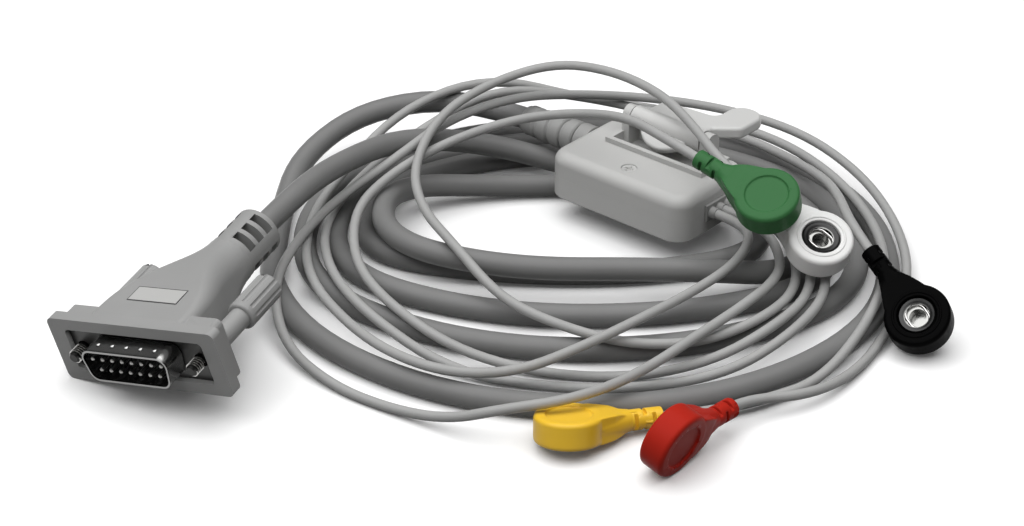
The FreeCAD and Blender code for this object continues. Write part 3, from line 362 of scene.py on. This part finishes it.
class Finish:
    """A material in the making: its nodes, their links and its surface shader."""

    def __init__(self, name):
        self.material = bpy.data.materials.new(name)
        self.material.use_nodes = True
        self.tree = self.material.node_tree
        self.shader = self.tree.nodes["Principled BSDF"]
        place = self.node("ShaderNodeTexCoord", {}, {})
        self.place = Signal(self, place.outputs["Object"])

    def feed(self, socket, value):
        if isinstance(value, Signal):
            self.tree.links.new(value.socket, socket)
        else:
            socket.default_value = value

    def node(self, kind, settings, inputs):
        made = self.tree.nodes.new(kind)
        for key, value in settings.items():
            setattr(made, key, value)
        for key, value in inputs.items():
            self.feed(made.inputs[key], value)
        return made

    def surface(self, values):
        for key, value in values.items():
            self.feed(self.shader.inputs[key], value)

    def grain(self, scale, detail, stretch=EVEN_LAY):
        """Noise with features of about 1 / scale metres, drawn out along an axis by stretch."""
        where = self.place
        if stretch != EVEN_LAY:
            made = self.node("ShaderNodeMapping", {}, {"Vector": where, "Scale": stretch})
            where = Signal(self, made.outputs[0])
        made = self.node("ShaderNodeTexNoise", {}, {"Vector": where, "Scale": scale, "Detail": detail})
        return Signal(self, made.outputs[0])

    def reach(self, place):
        """Distance from a placed piece's own origin, along its y axis."""
        away = self.node("ShaderNodeVectorMath", {"operation": "SUBTRACT"},
                         {0: self.place, 1: place.translation})
        made = self.node("ShaderNodeVectorMath", {"operation": "DOT_PRODUCT"},
                         {0: Signal(self, away.outputs[0]), 1: place.col[1].xyz})
        return Signal(self, made.outputs["Value"])

    def band(self, value, low, high):
        """0 below low, 1 above high, and a smooth step between them."""
        made = self.node("ShaderNodeMapRange", {"interpolation_type": "SMOOTHSTEP"},
                         {"Value": value, "From Min": low, "From Max": high})
        return Signal(self, made.outputs[0])

    def tint(self, factor, first, second):
        made = self.node("ShaderNodeMix", {"data_type": "RGBA"}, {0: factor, 6: first, 7: second})
        return Signal(self, made.outputs[2])

    def relief(self, height, depth, strength):
        made = self.node("ShaderNodeBump", {}, {"Height": height, "Distance": depth, "Strength": strength})
        self.surface({"Normal": Signal(self, made.outputs[0])})


def shade(base, factor):
    return tuple(min(1.0, c * factor) for c in base) + (1.0,)


def moulded(name, base, roughness, grain_depth, gloss=MOULD_GLOSS):
    """Moulded plastic: spark-eroded grain, faint flow marks and handled patches."""
    made = Finish(name)
    fine = made.grain(scale=2400.0, detail=3.0)
    flow = made.grain(scale=75.0, detail=3.0)
    handled = made.band(made.grain(scale=38.0, detail=4.0), low=0.5, high=0.72)
    mottled = made.tint(flow, shade(base, 0.95), shade(base, 1.05))
    made.surface({
        "Base Color": made.tint(handled * 0.3, mottled, shade(base, 0.92)),
        "Roughness": roughness + fine.swing(0.1) - handled * 0.07,
        "Specular IOR Level": gloss})
    made.relief(fine, grain_depth, strength=0.5)
    return made.material


def jacket(name, base, roughness):
    """Soft cable jacket: dull, with a faint bloom and a few rubbed patches."""
    made = Finish(name)
    bloom = made.grain(scale=120.0, detail=4.0)
    fine = made.grain(scale=3200.0, detail=2.0)
    rubbed = made.band(made.grain(scale=45.0, detail=3.0), low=0.55, high=0.75)
    clouded = made.tint(bloom, shade(base, 0.94), shade(base, 1.06))
    made.surface({
        "Base Color": made.tint(rubbed * 0.35, clouded, shade(base, 1.12)),
        "Roughness": roughness + bloom.swing(0.12) - rubbed * 0.08,
        "Specular IOR Level": JACKET_GLOSS})
    made.relief(fine, depth=0.000012, strength=0.4)
    return made.material


def plated(name, base, roughness, lay=EVEN_LAY):
    """Plated metal: fine lines, drawn out by their lay, and slightly clouded polish."""
    made = Finish(name)
    drawn = made.grain(scale=900.0, detail=4.0, stretch=lay)
    cloud = made.grain(scale=140.0, detail=3.0)
    made.surface({
        "Base Color": made.tint(cloud, shade(base, 0.9), shade(base, 1.05)),
        "Metallic": 1.0,
        "Roughness": roughness + cloud.swing(0.16) + drawn.swing(0.1)})
    made.relief(drawn, depth=0.000008, strength=0.3)
    return made.material


def drawn_shell(name, tin, rim, plate_shade):
    """Drawn and tinned shell, with painted shade at its mouth and on its flange plate, which is also
    duller.
    """
    made = Finish(name)
    depth = made.reach(HOOD)
    drawn = made.grain(scale=1100.0, detail=4.0, stretch=(1.0, 1.0, 0.2))
    cloud = made.grain(scale=170.0, detail=3.0)
    # Painted shade: the mouth and the flange plate get darker colours than the tin.
    mouth = 1.0 - made.band(depth, *MOUTH_SHADE_BAND)
    flange_shade = made.band(depth, *PLATE_SHADE_BAND)
    clouded = made.tint(cloud, shade(tin, 0.85), shade(tin, 1.15))
    made.surface({
        "Base Color": made.tint(mouth, made.tint(flange_shade, clouded, shade(plate_shade, 1.0)), shade(rim, 1.0)),
        "Metallic": 1.0,
        "Roughness": 0.2 + cloud.swing(0.14) + drawn.swing(0.08) + flange_shade * 0.18})
    made.relief(drawn, depth=0.000006, strength=0.3)
    return made.material


def cupped(name, place):
    """Snap socket: bright cup in a dulled flange that is darkened with painted shade."""
    made = Finish(name)
    mouth = place @ Vector((0.0, 0.0, SOCKET_SHELF))
    away = made.node("ShaderNodeVectorMath", {"operation": "DISTANCE"}, {0: made.place, 1: mouth})
    # Painted shade darkens the flange round the cup, which is also made rougher.
    flange_shade = made.band(Signal(made, away.outputs["Value"]), *CUP_SHADE_BAND)
    cloud = made.grain(scale=600.0, detail=3.0)
    made.surface({
        "Base Color": made.tint(flange_shade, shade(CUP_METAL, 1.0), shade(CUP_FLANGE_SHADE, 1.0)),
        "Metallic": 1.0,
        "Roughness": 0.2 + cloud.swing(0.12) + flange_shade * 0.16})
    made.relief(cloud, depth=0.000006, strength=0.3)
    return made.material


def paper(name, base):
    """Bare coated label stock."""
    made = Finish(name)
    fibre = made.grain(scale=1800.0, detail=5.0)
    yellowed = made.grain(scale=140.0, detail=3.0)
    made.surface({
        "Base Color": made.tint(yellowed, shade(base, 0.97), shade(base, 1.03)),
        "Roughness": 0.42 + fibre.swing(0.12)})
    made.relief(fibre, depth=0.00001, strength=0.3)
    return made.material


def select_only(piece):
    bpy.ops.object.select_all(action="DESELECT")
    piece.select_set(True)
    bpy.context.view_layer.objects.active = piece


def edit(piece, kind):
    select_only(piece)
    bpy.ops.object.mode_set(mode="EDIT")
    bpy.ops.mesh.select_mode(type=kind)


def done():
    bpy.ops.object.mode_set(mode="OBJECT")


def faced_out():
    """Turns all faces of the piece that is being edited outward, and ends the edit."""
    bpy.ops.mesh.select_all(action="SELECT")
    bpy.ops.mesh.normals_make_consistent(inside=False)
    done()


def settle():
    """Makes the place, turn and scale of what is selected part of its mesh."""
    bpy.ops.object.transform_apply(location=True, rotation=True, scale=True)


def pick_edges(piece, wanted):
    """Leaves only the wanted edges of a piece selected, in object mode."""
    edges = piece.data.edges
    chosen = [edge.index for edge in edges if wanted(edge)]
    for group in (piece.data.vertices, edges, piece.data.polygons):
        group.foreach_set("select", [False] * len(group))
    for i in chosen:
        edges[i].select = True
        for v in edges[i].vertices:
            piece.data.vertices[v].select = True


def dress(piece, *materials):
    piece.data.materials.clear()
    for material in materials:
        piece.data.materials.append(material)
    return piece


def seated(piece, body, slot, *nodes):
    """Rides on its body and stands for its CAD nodes; its slot is not used."""
    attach(piece, body)
    if nodes:
        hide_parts(*nodes)
    return piece


def duplicate(source, name):
    """A copy of a piece with its own mesh, left selected."""
    select_only(source)
    bpy.ops.object.duplicate()
    piece = bpy.context.object
    piece.name = name
    return piece


def another(pattern, name, place):
    """A copy of a pattern, laid in its place."""
    piece = duplicate(pattern, name)
    piece.matrix_world = place
    settle()
    return piece


def discard(pattern):
    select_only(pattern)
    bpy.ops.object.delete()


def fused(piece, addition):
    """Makes an addition part of a piece."""
    select_only(piece)
    addition.select_set(True)
    bpy.ops.object.join()
    return piece


def outline(name, sides, radius, reach):
    """A small round outline that stands beside the z axis, ready to be spun or wound."""
    bpy.ops.object.select_all(action="DESELECT")
    bpy.ops.mesh.primitive_circle_add(vertices=sides, radius=radius, location=(reach, 0.0, 0.0),
                                      rotation=(RIGHT_ANGLE, 0.0, 0.0))
    settle()
    piece = bpy.context.object
    piece.name = name
    return piece


def copied(node, name):
    """A merged copy of a CAD moulding, ready to be worked on."""
    piece = duplicate(frame["nodes"][node], name)
    piece.data.name = name
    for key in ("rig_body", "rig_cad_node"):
        if key in piece:
            del piece[key]
    edit(piece, "VERT")
    bpy.ops.mesh.select_all(action="SELECT")
    bpy.ops.mesh.remove_doubles(threshold=MERGE_GAP)
    done()
    return piece


def flattened(piece):
    """Joins the triangles of each flat into one face."""
    edit(piece, "VERT")
    bpy.ops.mesh.select_all(action="SELECT")
    bpy.ops.mesh.dissolve_limited(angle_limit=FLAT_ANGLE)
    done()
    return piece


def softened(piece, radius):
    """Gives a moulding's sharp edges a small round, and shades its curves smooth and its flats flat."""
    select_only(piece)
    rounded = piece.modifiers.new("edge round", "BEVEL")
    rounded.width = radius
    rounded.segments = EDGE_SEGMENTS
    rounded.limit_method = "ANGLE"
    rounded.angle_limit = SHARP_ANGLE
    rounded.miter_outer = "MITER_ARC"
    bpy.ops.object.modifier_apply(modifier=rounded.name)
    bpy.ops.object.shade_smooth_by_angle(angle=SHARP_ANGLE)
    even = piece.modifiers.new("even flats", "WEIGHTED_NORMAL")
    even.keep_sharp = True
    bpy.ops.object.modifier_apply(modifier=even.name)
    return piece


def flowed(snap, place, voxel):
    """Runs a snap's creases into one another, those of its slotted boot less than the rest."""
    select_only(snap)
    snap.data.remesh_voxel_size = voxel
    snap.data.remesh_voxel_adaptivity = 0.0
    bpy.ops.object.voxel_remesh()
    inward = place.inverted()
    disc = snap.vertex_groups.new(name="disc")
    ahead = [v.index for v in snap.data.vertices if (inward @ v.co).x < SNAP_NECK_END]
    disc.add(ahead, 1.0, "REPLACE")
    for passes, group in ((SNAP_PASSES, ""), (DISC_PASSES, disc.name)):
        relaxed = snap.modifiers.new("flow", "SMOOTH")
        relaxed.factor = FLOW_FACTOR
        relaxed.iterations = passes
        relaxed.vertex_group = group
        bpy.ops.object.modifier_apply(modifier=relaxed.name)
    bpy.ops.object.shade_smooth()
    return snap


def rounded_lip(hood, radius):
    """Rounds the outer edges of the hood's lip, front and back."""
    inward = HOOD.inverted()
    edit(hood, "EDGE")
    bpy.ops.mesh.select_all(action="DESELECT")
    bpy.ops.mesh.edges_select_sharp(sharpness=LIP_SHARPNESS)
    done()
    places = [inward @ v.co for v in hood.data.vertices]

    def on_lip(place):
        beyond = abs(place.x) > LIP_SIDE or abs(place.z) > HOOD_TOP - LIP_SLACK
        return beyond and place.y < LIP_BACK

    def outer(edge):
        start, end = (places[v] for v in edge.vertices)
        level = abs(start.y - end.y) < LEVEL_SLACK
        return edge.select and level and on_lip(start) and on_lip(end)

    pick_edges(hood, outer)
    edit(hood, "EDGE")
    bpy.ops.mesh.bevel(offset=radius, segments=LIP_SEGMENTS, affect="EDGES", clamp_overlap=True)
    done()
    return hood


def snap_frame(tag):
    """Where a snap lies: x along its boot, z out of its socket."""
    centre, boot, face = (Vector(v) for v in SNAPS[tag])
    x = boot.normalized()
    z = (face - x * face.dot(x)).normalized()
    turn = Matrix((x, z.cross(x), z)).transposed().to_4x4()
    return Matrix.Translation(BENCH + centre) @ turn


def corded(name, points, diameter, roundness):
    """A cord on one smooth line that follows the route's points."""
    line = bpy.data.curves.new(name, "CURVE")
    line.dimensions = "3D"
    spline = line.splines.new("NURBS")
    spline.points.add(len(points) - 1)
    for point, place in zip(spline.points, points):
        point.co = (*place, 1.0)
    spline.order_u = 3
    spline.use_endpoint_u = True
    spline.resolution_u = CORD_STEPS
    line.bevel_depth = diameter / 2
    line.bevel_resolution = roundness
    line.use_fill_caps = True
    piece = bpy.data.objects.new(name, line)
    bpy.context.scene.collection.objects.link(piece)
    return piece


def on_bench(points):
    return [BENCH + Vector(p) for p in points]


def coil_stations():
    """Place and heading at each quarter of the loose turns."""
    stations = []
    for turn in range(len(REACH_RIGHT)):
        raised = COIL_HIGH if turn == 0 else COIL_LOW
        right = Vector((COIL_X + REACH_RIGHT[turn], SIDE_RIGHT[turn], COIL_LOW))
        front = Vector((COIL_X, -REACH_FRONT[turn], raised))
        left = Vector((COIL_X - REACH_LEFT[turn], SIDE_LEFT[turn], raised))
        stations += [(right, FRONTWARD), (front, LEFTWARD), (left, BACKWARD)]
        if turn < len(REACH_BACK):
            back = Vector((COIL_X, REACH_BACK[turn], COIL_LOW))
            stations.append((back, RIGHTWARD))
    return stations


def coil_turns():
    """Four control points for each quarter turn, two on its end tangents and two on the chord between."""
    stations = coil_stations()
    points = [stations[0][0]]
    for (p0, t0), (p1, t1) in zip(stations, stations[1:]):
        step = p1 - p0
        ahead = step.dot(t0)
        across = step.dot(t1)
        share = TURN_SHARE + TURN_EXCESS * (1 - min(ahead, across) / max(ahead, across))
        if ahead < across:
            out = share * ahead
            back = (step.length_squared / 2 - out * ahead) / (across + out)
        else:
            back = share * across
            out = (step.length_squared / 2 - back * across) / (ahead + back)
        first = p0 + t0 * out
        last = p1 - t1 * back
        points.append(p0 + t0 * (out / 2))
        points += [first.lerp(last, along) for along in CHORD_SHARES]
        points.append(p1 - t1 * (back / 2))
    return points + [stations[-1][0]]


def trunk_route():
    points = [HOOD @ Vector((0.0, y, 0.0)) for y in (CABLE_STOP, RELIEF_END + CABLE_RUN)]
    points += on_bench(TRUNK_IN) + on_bench(coil_turns()) + on_bench(TRUNK_OUT)
    return points + [YOKE @ Vector((x, BOOT_Y, BOOT_Z)) for x in (BOOT_RUN, BOOT_STOP)]


def lead_route(tag):
    run_out, run_in, middle = LEADS[tag]
    snap = snap_frame(tag)
    points = [YOKE @ Vector((COLLAR_FACE + run, LEAD_ROWS[tag], LEAD_HEIGHT)) for run in (0.0, run_out)]
    points += on_bench(middle)
    return points + [snap @ Vector((SNAP_BOOT_END + run, 0.0, 0.0)) for run in (run_in, 0.0)]


class CABLE_OT_trunk(bpy.types.Operator):
    """Trunk cable, from the hood through the loose coil to the yoke"""
    bl_idname = "cable.trunk"
    bl_label = "Trunk"

    def execute(self, context):
        sizes = context.scene.cable_sizes
        trunk = corded("trunk_cord", trunk_route(), sizes.trunk_diameter, TRUNK_ROUNDNESS)
        dress(trunk, jacket("trunk jacket", context.scene.cable_colours.trunk, roughness=0.42))
        seated(trunk, "cable_set", "trunk_jacket", "trunk_connector_end", "trunk_coil", "trunk_yoke_end")
        return {"FINISHED"}


class CABLE_OT_leads(bpy.types.Operator):
    """Five thin leads, from the yoke's outlet to their snaps"""
    bl_idname = "cable.leads"
    bl_label = "Leads"

    def execute(self, context):
        sizes = context.scene.cable_sizes
        skin = jacket("lead jacket", context.scene.cable_colours.lead, roughness=0.44)
        for tag in LEADS:
            lead = corded(tag + "_lead_cord", lead_route(tag), sizes.lead_diameter, LEAD_ROUNDNESS)
            seated(dress(lead, skin), "cable_set", "lead_jacket", tag + "_lead")
        return {"FINISHED"}


class CABLE_OT_connector(bpy.types.Operator):
    """Moulded hood and knobs, plated shells and contacts"""
    bl_idname = "cable.connector"
    bl_label = "Connector"

    def execute(self, context):
        sizes = context.scene.cable_sizes
        hues = context.scene.cable_colours
        nodes = frame["nodes"]
        plastic = moulded("hood plastic", hues.hood, roughness=0.5, grain_depth=COARSE_GRAIN)
        hood = rounded_lip(flattened(copied("connector_hood", "hood_moulding")), sizes.lip_round)
        hood = dress(softened(hood, sizes.edge_round), plastic)
        seated(hood, "cable_set", "hood_plastic", "connector_hood")
        # Painted shade: near-black plating darkens the valleys between the thread ridges.
        screw = plated("jackscrew plating", SCREW_SHADED_PLATING, roughness=0.34, lay=(1.0, 0.3, 1.0))
        for hand in ("left", "right"):
            knob = softened(flattened(copied(hand + "_knob", hand + "_knob_moulding")), sizes.fine_round)
            seated(dress(knob, plastic), hand + "_thumbscrew", "knob_plastic", hand + "_knob")
            dress(nodes[hand + "_jackscrew"], screw)
        dress(nodes["front_shell"], drawn_shell("front shell tin", SHELL_TIN, SHELL_RIM_SHADE, SHELL_PLATE_SHADE))
        tin = plated("tinned shell", REAR_TIN, roughness=0.34, lay=(1.0, 0.15, 1.0))
        for node in ("rear_shell", "cable_ferrule"):
            dress(nodes[node], tin)
        contact = plated("tinned contact", CONTACT_TIN, roughness=0.3, lay=(1.0, 0.2, 1.0))
        dress(nodes["contact_pins"], contact)
        block = moulded("insulator", INSULATOR, roughness=0.5, grain_depth=FINE_GRAIN)
        dress(nodes["contact_insulator"], block)
        return {"FINISHED"}


class CABLE_OT_threads(bpy.types.Operator):
    """Thread turns on the tips of the two jackscrews"""
    bl_idname = "cable.threads"
    bl_label = "Jackscrew threads"

    def execute(self, context):
        steel = plated("thread plating", STEEL, roughness=0.3)
        ridge = self.ridge()
        rearward = Matrix.Rotation(-RIGHT_ANGLE, 4, "X")
        for hand, side in (("left", -1.0), ("right", 1.0)):
            start = Matrix.Translation((side * JACK_PITCH / 2, THREAD_START, 0.0))
            thread = another(ridge, hand + "_jackscrew_thread", HOOD @ start @ rearward)
            seated(dress(thread, steel), hand + "_thumbscrew", "plated_steel")
        discard(ridge)
        return {"FINISHED"}

    def ridge(self):
        """Pattern of a ridge wound up the z axis, closed at both ends."""
        ridge = outline("ridge_pattern", RIDGE_SIDES, RIDGE_RADIUS, JACK_RADIUS)
        winding = ridge.modifiers.new("turns", "SCREW")
        winding.axis = "Z"
        winding.screw_offset = THREAD_PITCH
        winding.iterations = THREAD_TURNS
        winding.steps = THREAD_STEPS
        winding.render_steps = THREAD_STEPS
        bpy.ops.object.modifier_apply(modifier=winding.name)
        edit(ridge, "VERT")
        bpy.ops.mesh.select_all(action="SELECT")
        bpy.ops.mesh.fill_holes(sides=RIDGE_SIDES)
        faced_out()
        bpy.ops.object.shade_smooth_by_angle(angle=SHARP_ANGLE)
        return ridge


class CABLE_OT_label(bpy.types.Operator):
    """Bare label on top of the hood"""
    bl_idname = "cable.label"
    bl_label = "Label"

    def execute(self, context):
        sizes = context.scene.cable_sizes
        stock = paper("label stock", context.scene.cable_colours.label)
        dark_outline = paper("label edge", LABEL_OUTLINE)
        bpy.ops.object.select_all(action="DESELECT")
        bpy.ops.mesh.primitive_plane_add(size=1.0)
        label = bpy.context.object
        label.name = "bare_label"
        label.scale = (sizes.label_width, sizes.label_depth, 1.0)
        settle()
        dress(label, stock, dark_outline)
        edit(label, "FACE")
        bpy.ops.mesh.select_all(action="SELECT")
        bpy.ops.mesh.extrude_region_move(TRANSFORM_OT_translate={"value": (0.0, 0.0, LABEL_THICKNESS)})
        bpy.ops.mesh.inset(thickness=LABEL_EDGE, depth=0.0)
        bpy.ops.mesh.select_all(action="INVERT")
        label.active_material_index = 1
        bpy.ops.object.material_slot_assign()
        faced_out()
        label.matrix_world = HOOD @ Matrix.Translation((*LABEL_PLACE, HOOD_TOP - LABEL_SINK))
        settle()
        seated(label, "cable_set", "yoke_plastic")
        return {"FINISHED"}


class CABLE_OT_yoke(bpy.types.Operator):
    """Yoke shells, outlet, boot and garment clip"""
    bl_idname = "cable.yoke"
    bl_label = "Yoke"

    def execute(self, context):
        sizes = context.scene.cable_sizes
        hues = context.scene.cable_colours
        nodes = frame["nodes"]
        plastic = moulded("yoke plastic", hues.yoke, roughness=0.46, grain_depth=MEDIUM_GRAIN)
        rubber = moulded("boot rubber", hues.rubber, roughness=0.55, grain_depth=MEDIUM_GRAIN)
        white = moulded("clip plastic", hues.clip, roughness=0.36, grain_depth=POLISHED_GRAIN)
        for node, name, finish, body, slot in (
                ("yoke_upper_shell", "yoke_upper_moulding", plastic, "cable_set", "yoke_plastic"),
                ("yoke_lower_shell", "yoke_lower_moulding", plastic, "cable_set", "yoke_plastic"),
                ("yoke_boot", "boot_moulding", rubber, "cable_set", "grey_rubber"),
                ("lead_grommet", "outlet_moulding", rubber, "cable_set", "grey_rubber"),
                ("clip_lever", "clip_moulding", white, "clip", "clip_plastic")):
            piece = softened(flattened(copied(node, name)), sizes.fine_round)
            seated(dress(piece, finish), body, slot, node)
        steel = plated("plain steel", STEEL, roughness=0.36, lay=(0.2, 1.0, 1.0))
        for node in ("clip_pin", "clip_spring"):
            dress(nodes[node], steel)
        dress(nodes["yoke_screw"], plated("zinc screw", ZINC, roughness=0.55))
        laminate = moulded("board laminate", LAMINATE, roughness=0.4, grain_depth=FINE_GRAIN)
        dress(nodes["yoke_board"], laminate)
        glaze = moulded("resistor glaze", RESISTOR_GLAZE, roughness=0.3, grain_depth=FINE_GRAIN)
        dress(nodes["lead_resistors"], glaze)
        return {"FINISHED"}


class CABLE_OT_snaps(bpy.types.Operator):
    """Five coloured snap mouldings with their metal sockets"""
    bl_idname = "cable.snaps"
    bl_label = "Snaps"

    def execute(self, context):
        sizes = context.scene.cable_sizes
        hues = context.scene.cable_colours
        nodes = frame["nodes"]
        wire = plated("spring wire", SPRING_WIRE, roughness=0.2)
        web = self.web()
        ring = self.ring()
        for tag in SNAPS:
            node = tag + "_snap_body"
            place = snap_frame(tag)
            plastic = moulded(tag + " snap plastic", getattr(hues, tag), roughness=0.36,
                              grain_depth=POLISHED_GRAIN, gloss=SNAP_GLOSS[tag])
            snap = copied(node, tag + "_snap_moulding")
            snap = fused(snap, another(web, tag + "_snap_web", place))
            snap = flowed(snap, place, sizes.snap_grain)
            seated(dress(snap, plastic), "cable_set", tag + "_plastic", node)
            rim = another(ring, tag + "_snap_rim", place @ Matrix.Translation((0.0, 0.0, DISC_HALF)))
            seated(dress(rim, plastic), "cable_set", tag + "_plastic")
            dress(nodes[tag + "_snap_socket"], cupped(tag + " socket plating", place))
            dress(nodes[tag + "_snap_spring"], wire)
        discard(web)
        discard(ring)
        return {"FINISHED"}

    def web(self):
        """Pattern of the web between a snap's disc and its boot, drawn out along x in steps."""
        bpy.ops.object.select_all(action="DESELECT")
        bpy.ops.mesh.primitive_plane_add(size=2.0, rotation=(0.0, RIGHT_ANGLE, 0.0))
        settle()
        web = bpy.context.object
        web.name = "web_pattern"
        edit(web, "VERT")
        bpy.ops.mesh.select_all(action="SELECT")
        x, wide, high = SNAP_WEB[0]
        bpy.ops.transform.resize(value=(1.0, wide, high))
        bpy.ops.transform.translate(value=(x, 0.0, 0.0))
        for further, narrower, lower in SNAP_WEB[1:]:
            bpy.ops.mesh.extrude_region_move(TRANSFORM_OT_translate={"value": (further - x, 0.0, 0.0)})
            bpy.ops.transform.resize(value=(1.0, narrower / wide, lower / high))
            x, wide, high = further, narrower, lower
        faced_out()
        return web

    def ring(self):
        """Pattern of the low raised rim round a socket, spun from a flattened round."""
        ring = outline("rim_pattern", RIM_SIDES, RIM_PROFILE, RIM_RADIUS)
        edit(ring, "VERT")
        bpy.ops.mesh.select_all(action="SELECT")
        bpy.ops.transform.resize(value=(1.0, 1.0, RIM_SQUASH))
        bpy.ops.mesh.spin(steps=RIM_STEPS, angle=2 * math.pi, center=(0.0, 0.0, 0.0), axis=(0.0, 0.0, 1.0))
        bpy.ops.mesh.select_all(action="SELECT")
        bpy.ops.mesh.remove_doubles(threshold=MERGE_GAP)
        faced_out()
        bpy.ops.object.shade_smooth()
        return ring


class CABLE_OT_stage(bpy.types.Operator):
    """Pale floor, soft light and the camera"""
    bl_idname = "cable.stage"
    bl_label = "Stage"

    def execute(self, context):
        self.floor()
        self.light(context.scene)
        self.camera(context.scene)
        context.scene.view_settings.view_transform = "Standard"
        return {"FINISHED"}

    def floor(self):
        """Floor that is white to the camera and in reflections, and sends little light up."""
        bpy.ops.object.select_all(action="DESELECT")
        bpy.ops.mesh.primitive_plane_add(size=FLOOR_SIZE)
        floor = bpy.context.object
        floor.name = "pale_floor"
        made = Finish("pale floor")
        path = made.node("ShaderNodeLightPath", {}, {})
        seen = Signal(made, path.outputs["Is Camera Ray"]) + Signal(made, path.outputs["Is Glossy Ray"])
        seen = seen + Signal(made, path.outputs["Is Transmission Ray"])
        made.surface({
            "Base Color": made.tint(seen, FLOOR_BOUNCE, FLOOR_SEEN),
            "Roughness": FLOOR_ROUGHNESS,
            "Specular IOR Level": 0.0,
            "Emission Color": FLOOR_SEEN,
            "Emission Strength": seen * FLOOR_GLOW})
        dress(floor, made.material)

    def light(self, scene):
        """Even world light and two broad lamps that face the middle of the part."""
        world = bpy.data.worlds.new("soft studio")
        world.use_nodes = True
        scene.world = world
        back = world.node_tree.nodes["Background"]
        back.inputs["Color"].default_value = WORLD_COLOUR
        back.inputs["Strength"].default_value = WORLD_STRENGTH
        for name, (place, size, power) in LAMPS.items():
            lamp = bpy.data.lights.new(name, "AREA")
            lamp.size = size
            lamp.energy = power
            holder = bpy.data.objects.new(name, lamp)
            scene.collection.objects.link(holder)
            holder.location = place
            holder.rotation_euler = (-Vector(place)).to_track_quat("-Z", "Y").to_euler()

    def camera(self, scene):
        """Camera that looks down at the bench point, with the picture's own field of view."""
        lens = bpy.data.cameras.new("camera")
        lens.sensor_fit = "HORIZONTAL"
        lens.sensor_width = SENSOR_WIDTH
        lens.lens = FOCAL_LENGTH / PICTURE_WIDTH * SENSOR_WIDTH
        lens.clip_start = CAMERA_NEAR
        camera = bpy.data.objects.new("camera", lens)
        scene.collection.objects.link(camera)
        away = Vector((0.0, -math.sin(CAMERA_TILT), math.cos(CAMERA_TILT)))
        camera.location = BENCH + away * CAMERA_REACH
        camera.rotation_euler = (CAMERA_TILT, 0.0, 0.0)
        scene.camera = camera


PIECES = (CABLE_OT_stage, CABLE_OT_connector, CABLE_OT_threads, CABLE_OT_label, CABLE_OT_yoke,
          CABLE_OT_snaps, CABLE_OT_trunk, CABLE_OT_leads)


class CABLE_PT_panel(bpy.types.Panel):
    """Sizes, colours and pieces of the patient cable"""
    bl_idname = "CABLE_PT_panel"
    bl_label = "Patient Cable"
    bl_space_type = "VIEW_3D"
    bl_region_type = "UI"
    bl_category = "Patient Cable"

    def draw(self, context):
        for group in (context.scene.cable_sizes, context.scene.cable_colours):
            for key in group.__annotations__:
                self.layout.prop(group, key)
        for piece in PIECES:
            self.layout.operator(piece.bl_idname)


CLASSES = (CableSizes, CableColours) + PIECES + (CABLE_PT_panel,)


def register():
    for cls in CLASSES:
        bpy.utils.register_class(cls)
    bpy.types.Scene.cable_sizes = bpy.props.PointerProperty(type=CableSizes)
    bpy.types.Scene.cable_colours = bpy.props.PointerProperty(type=CableColours)


def unregister():
    del bpy.types.Scene.cable_colours
    del bpy.types.Scene.cable_sizes
    for cls in reversed(CLASSES):
        bpy.utils.unregister_class(cls)


def main():
    register()
    bpy.ops.cable.stage()
    bpy.ops.cable.connector()
    bpy.ops.cable.threads()
    bpy.ops.cable.label()
    bpy.ops.cable.yoke()
    bpy.ops.cable.snaps()
    bpy.ops.cable.trunk()
    bpy.ops.cable.leads()


if __name__ == "__main__":
    main()
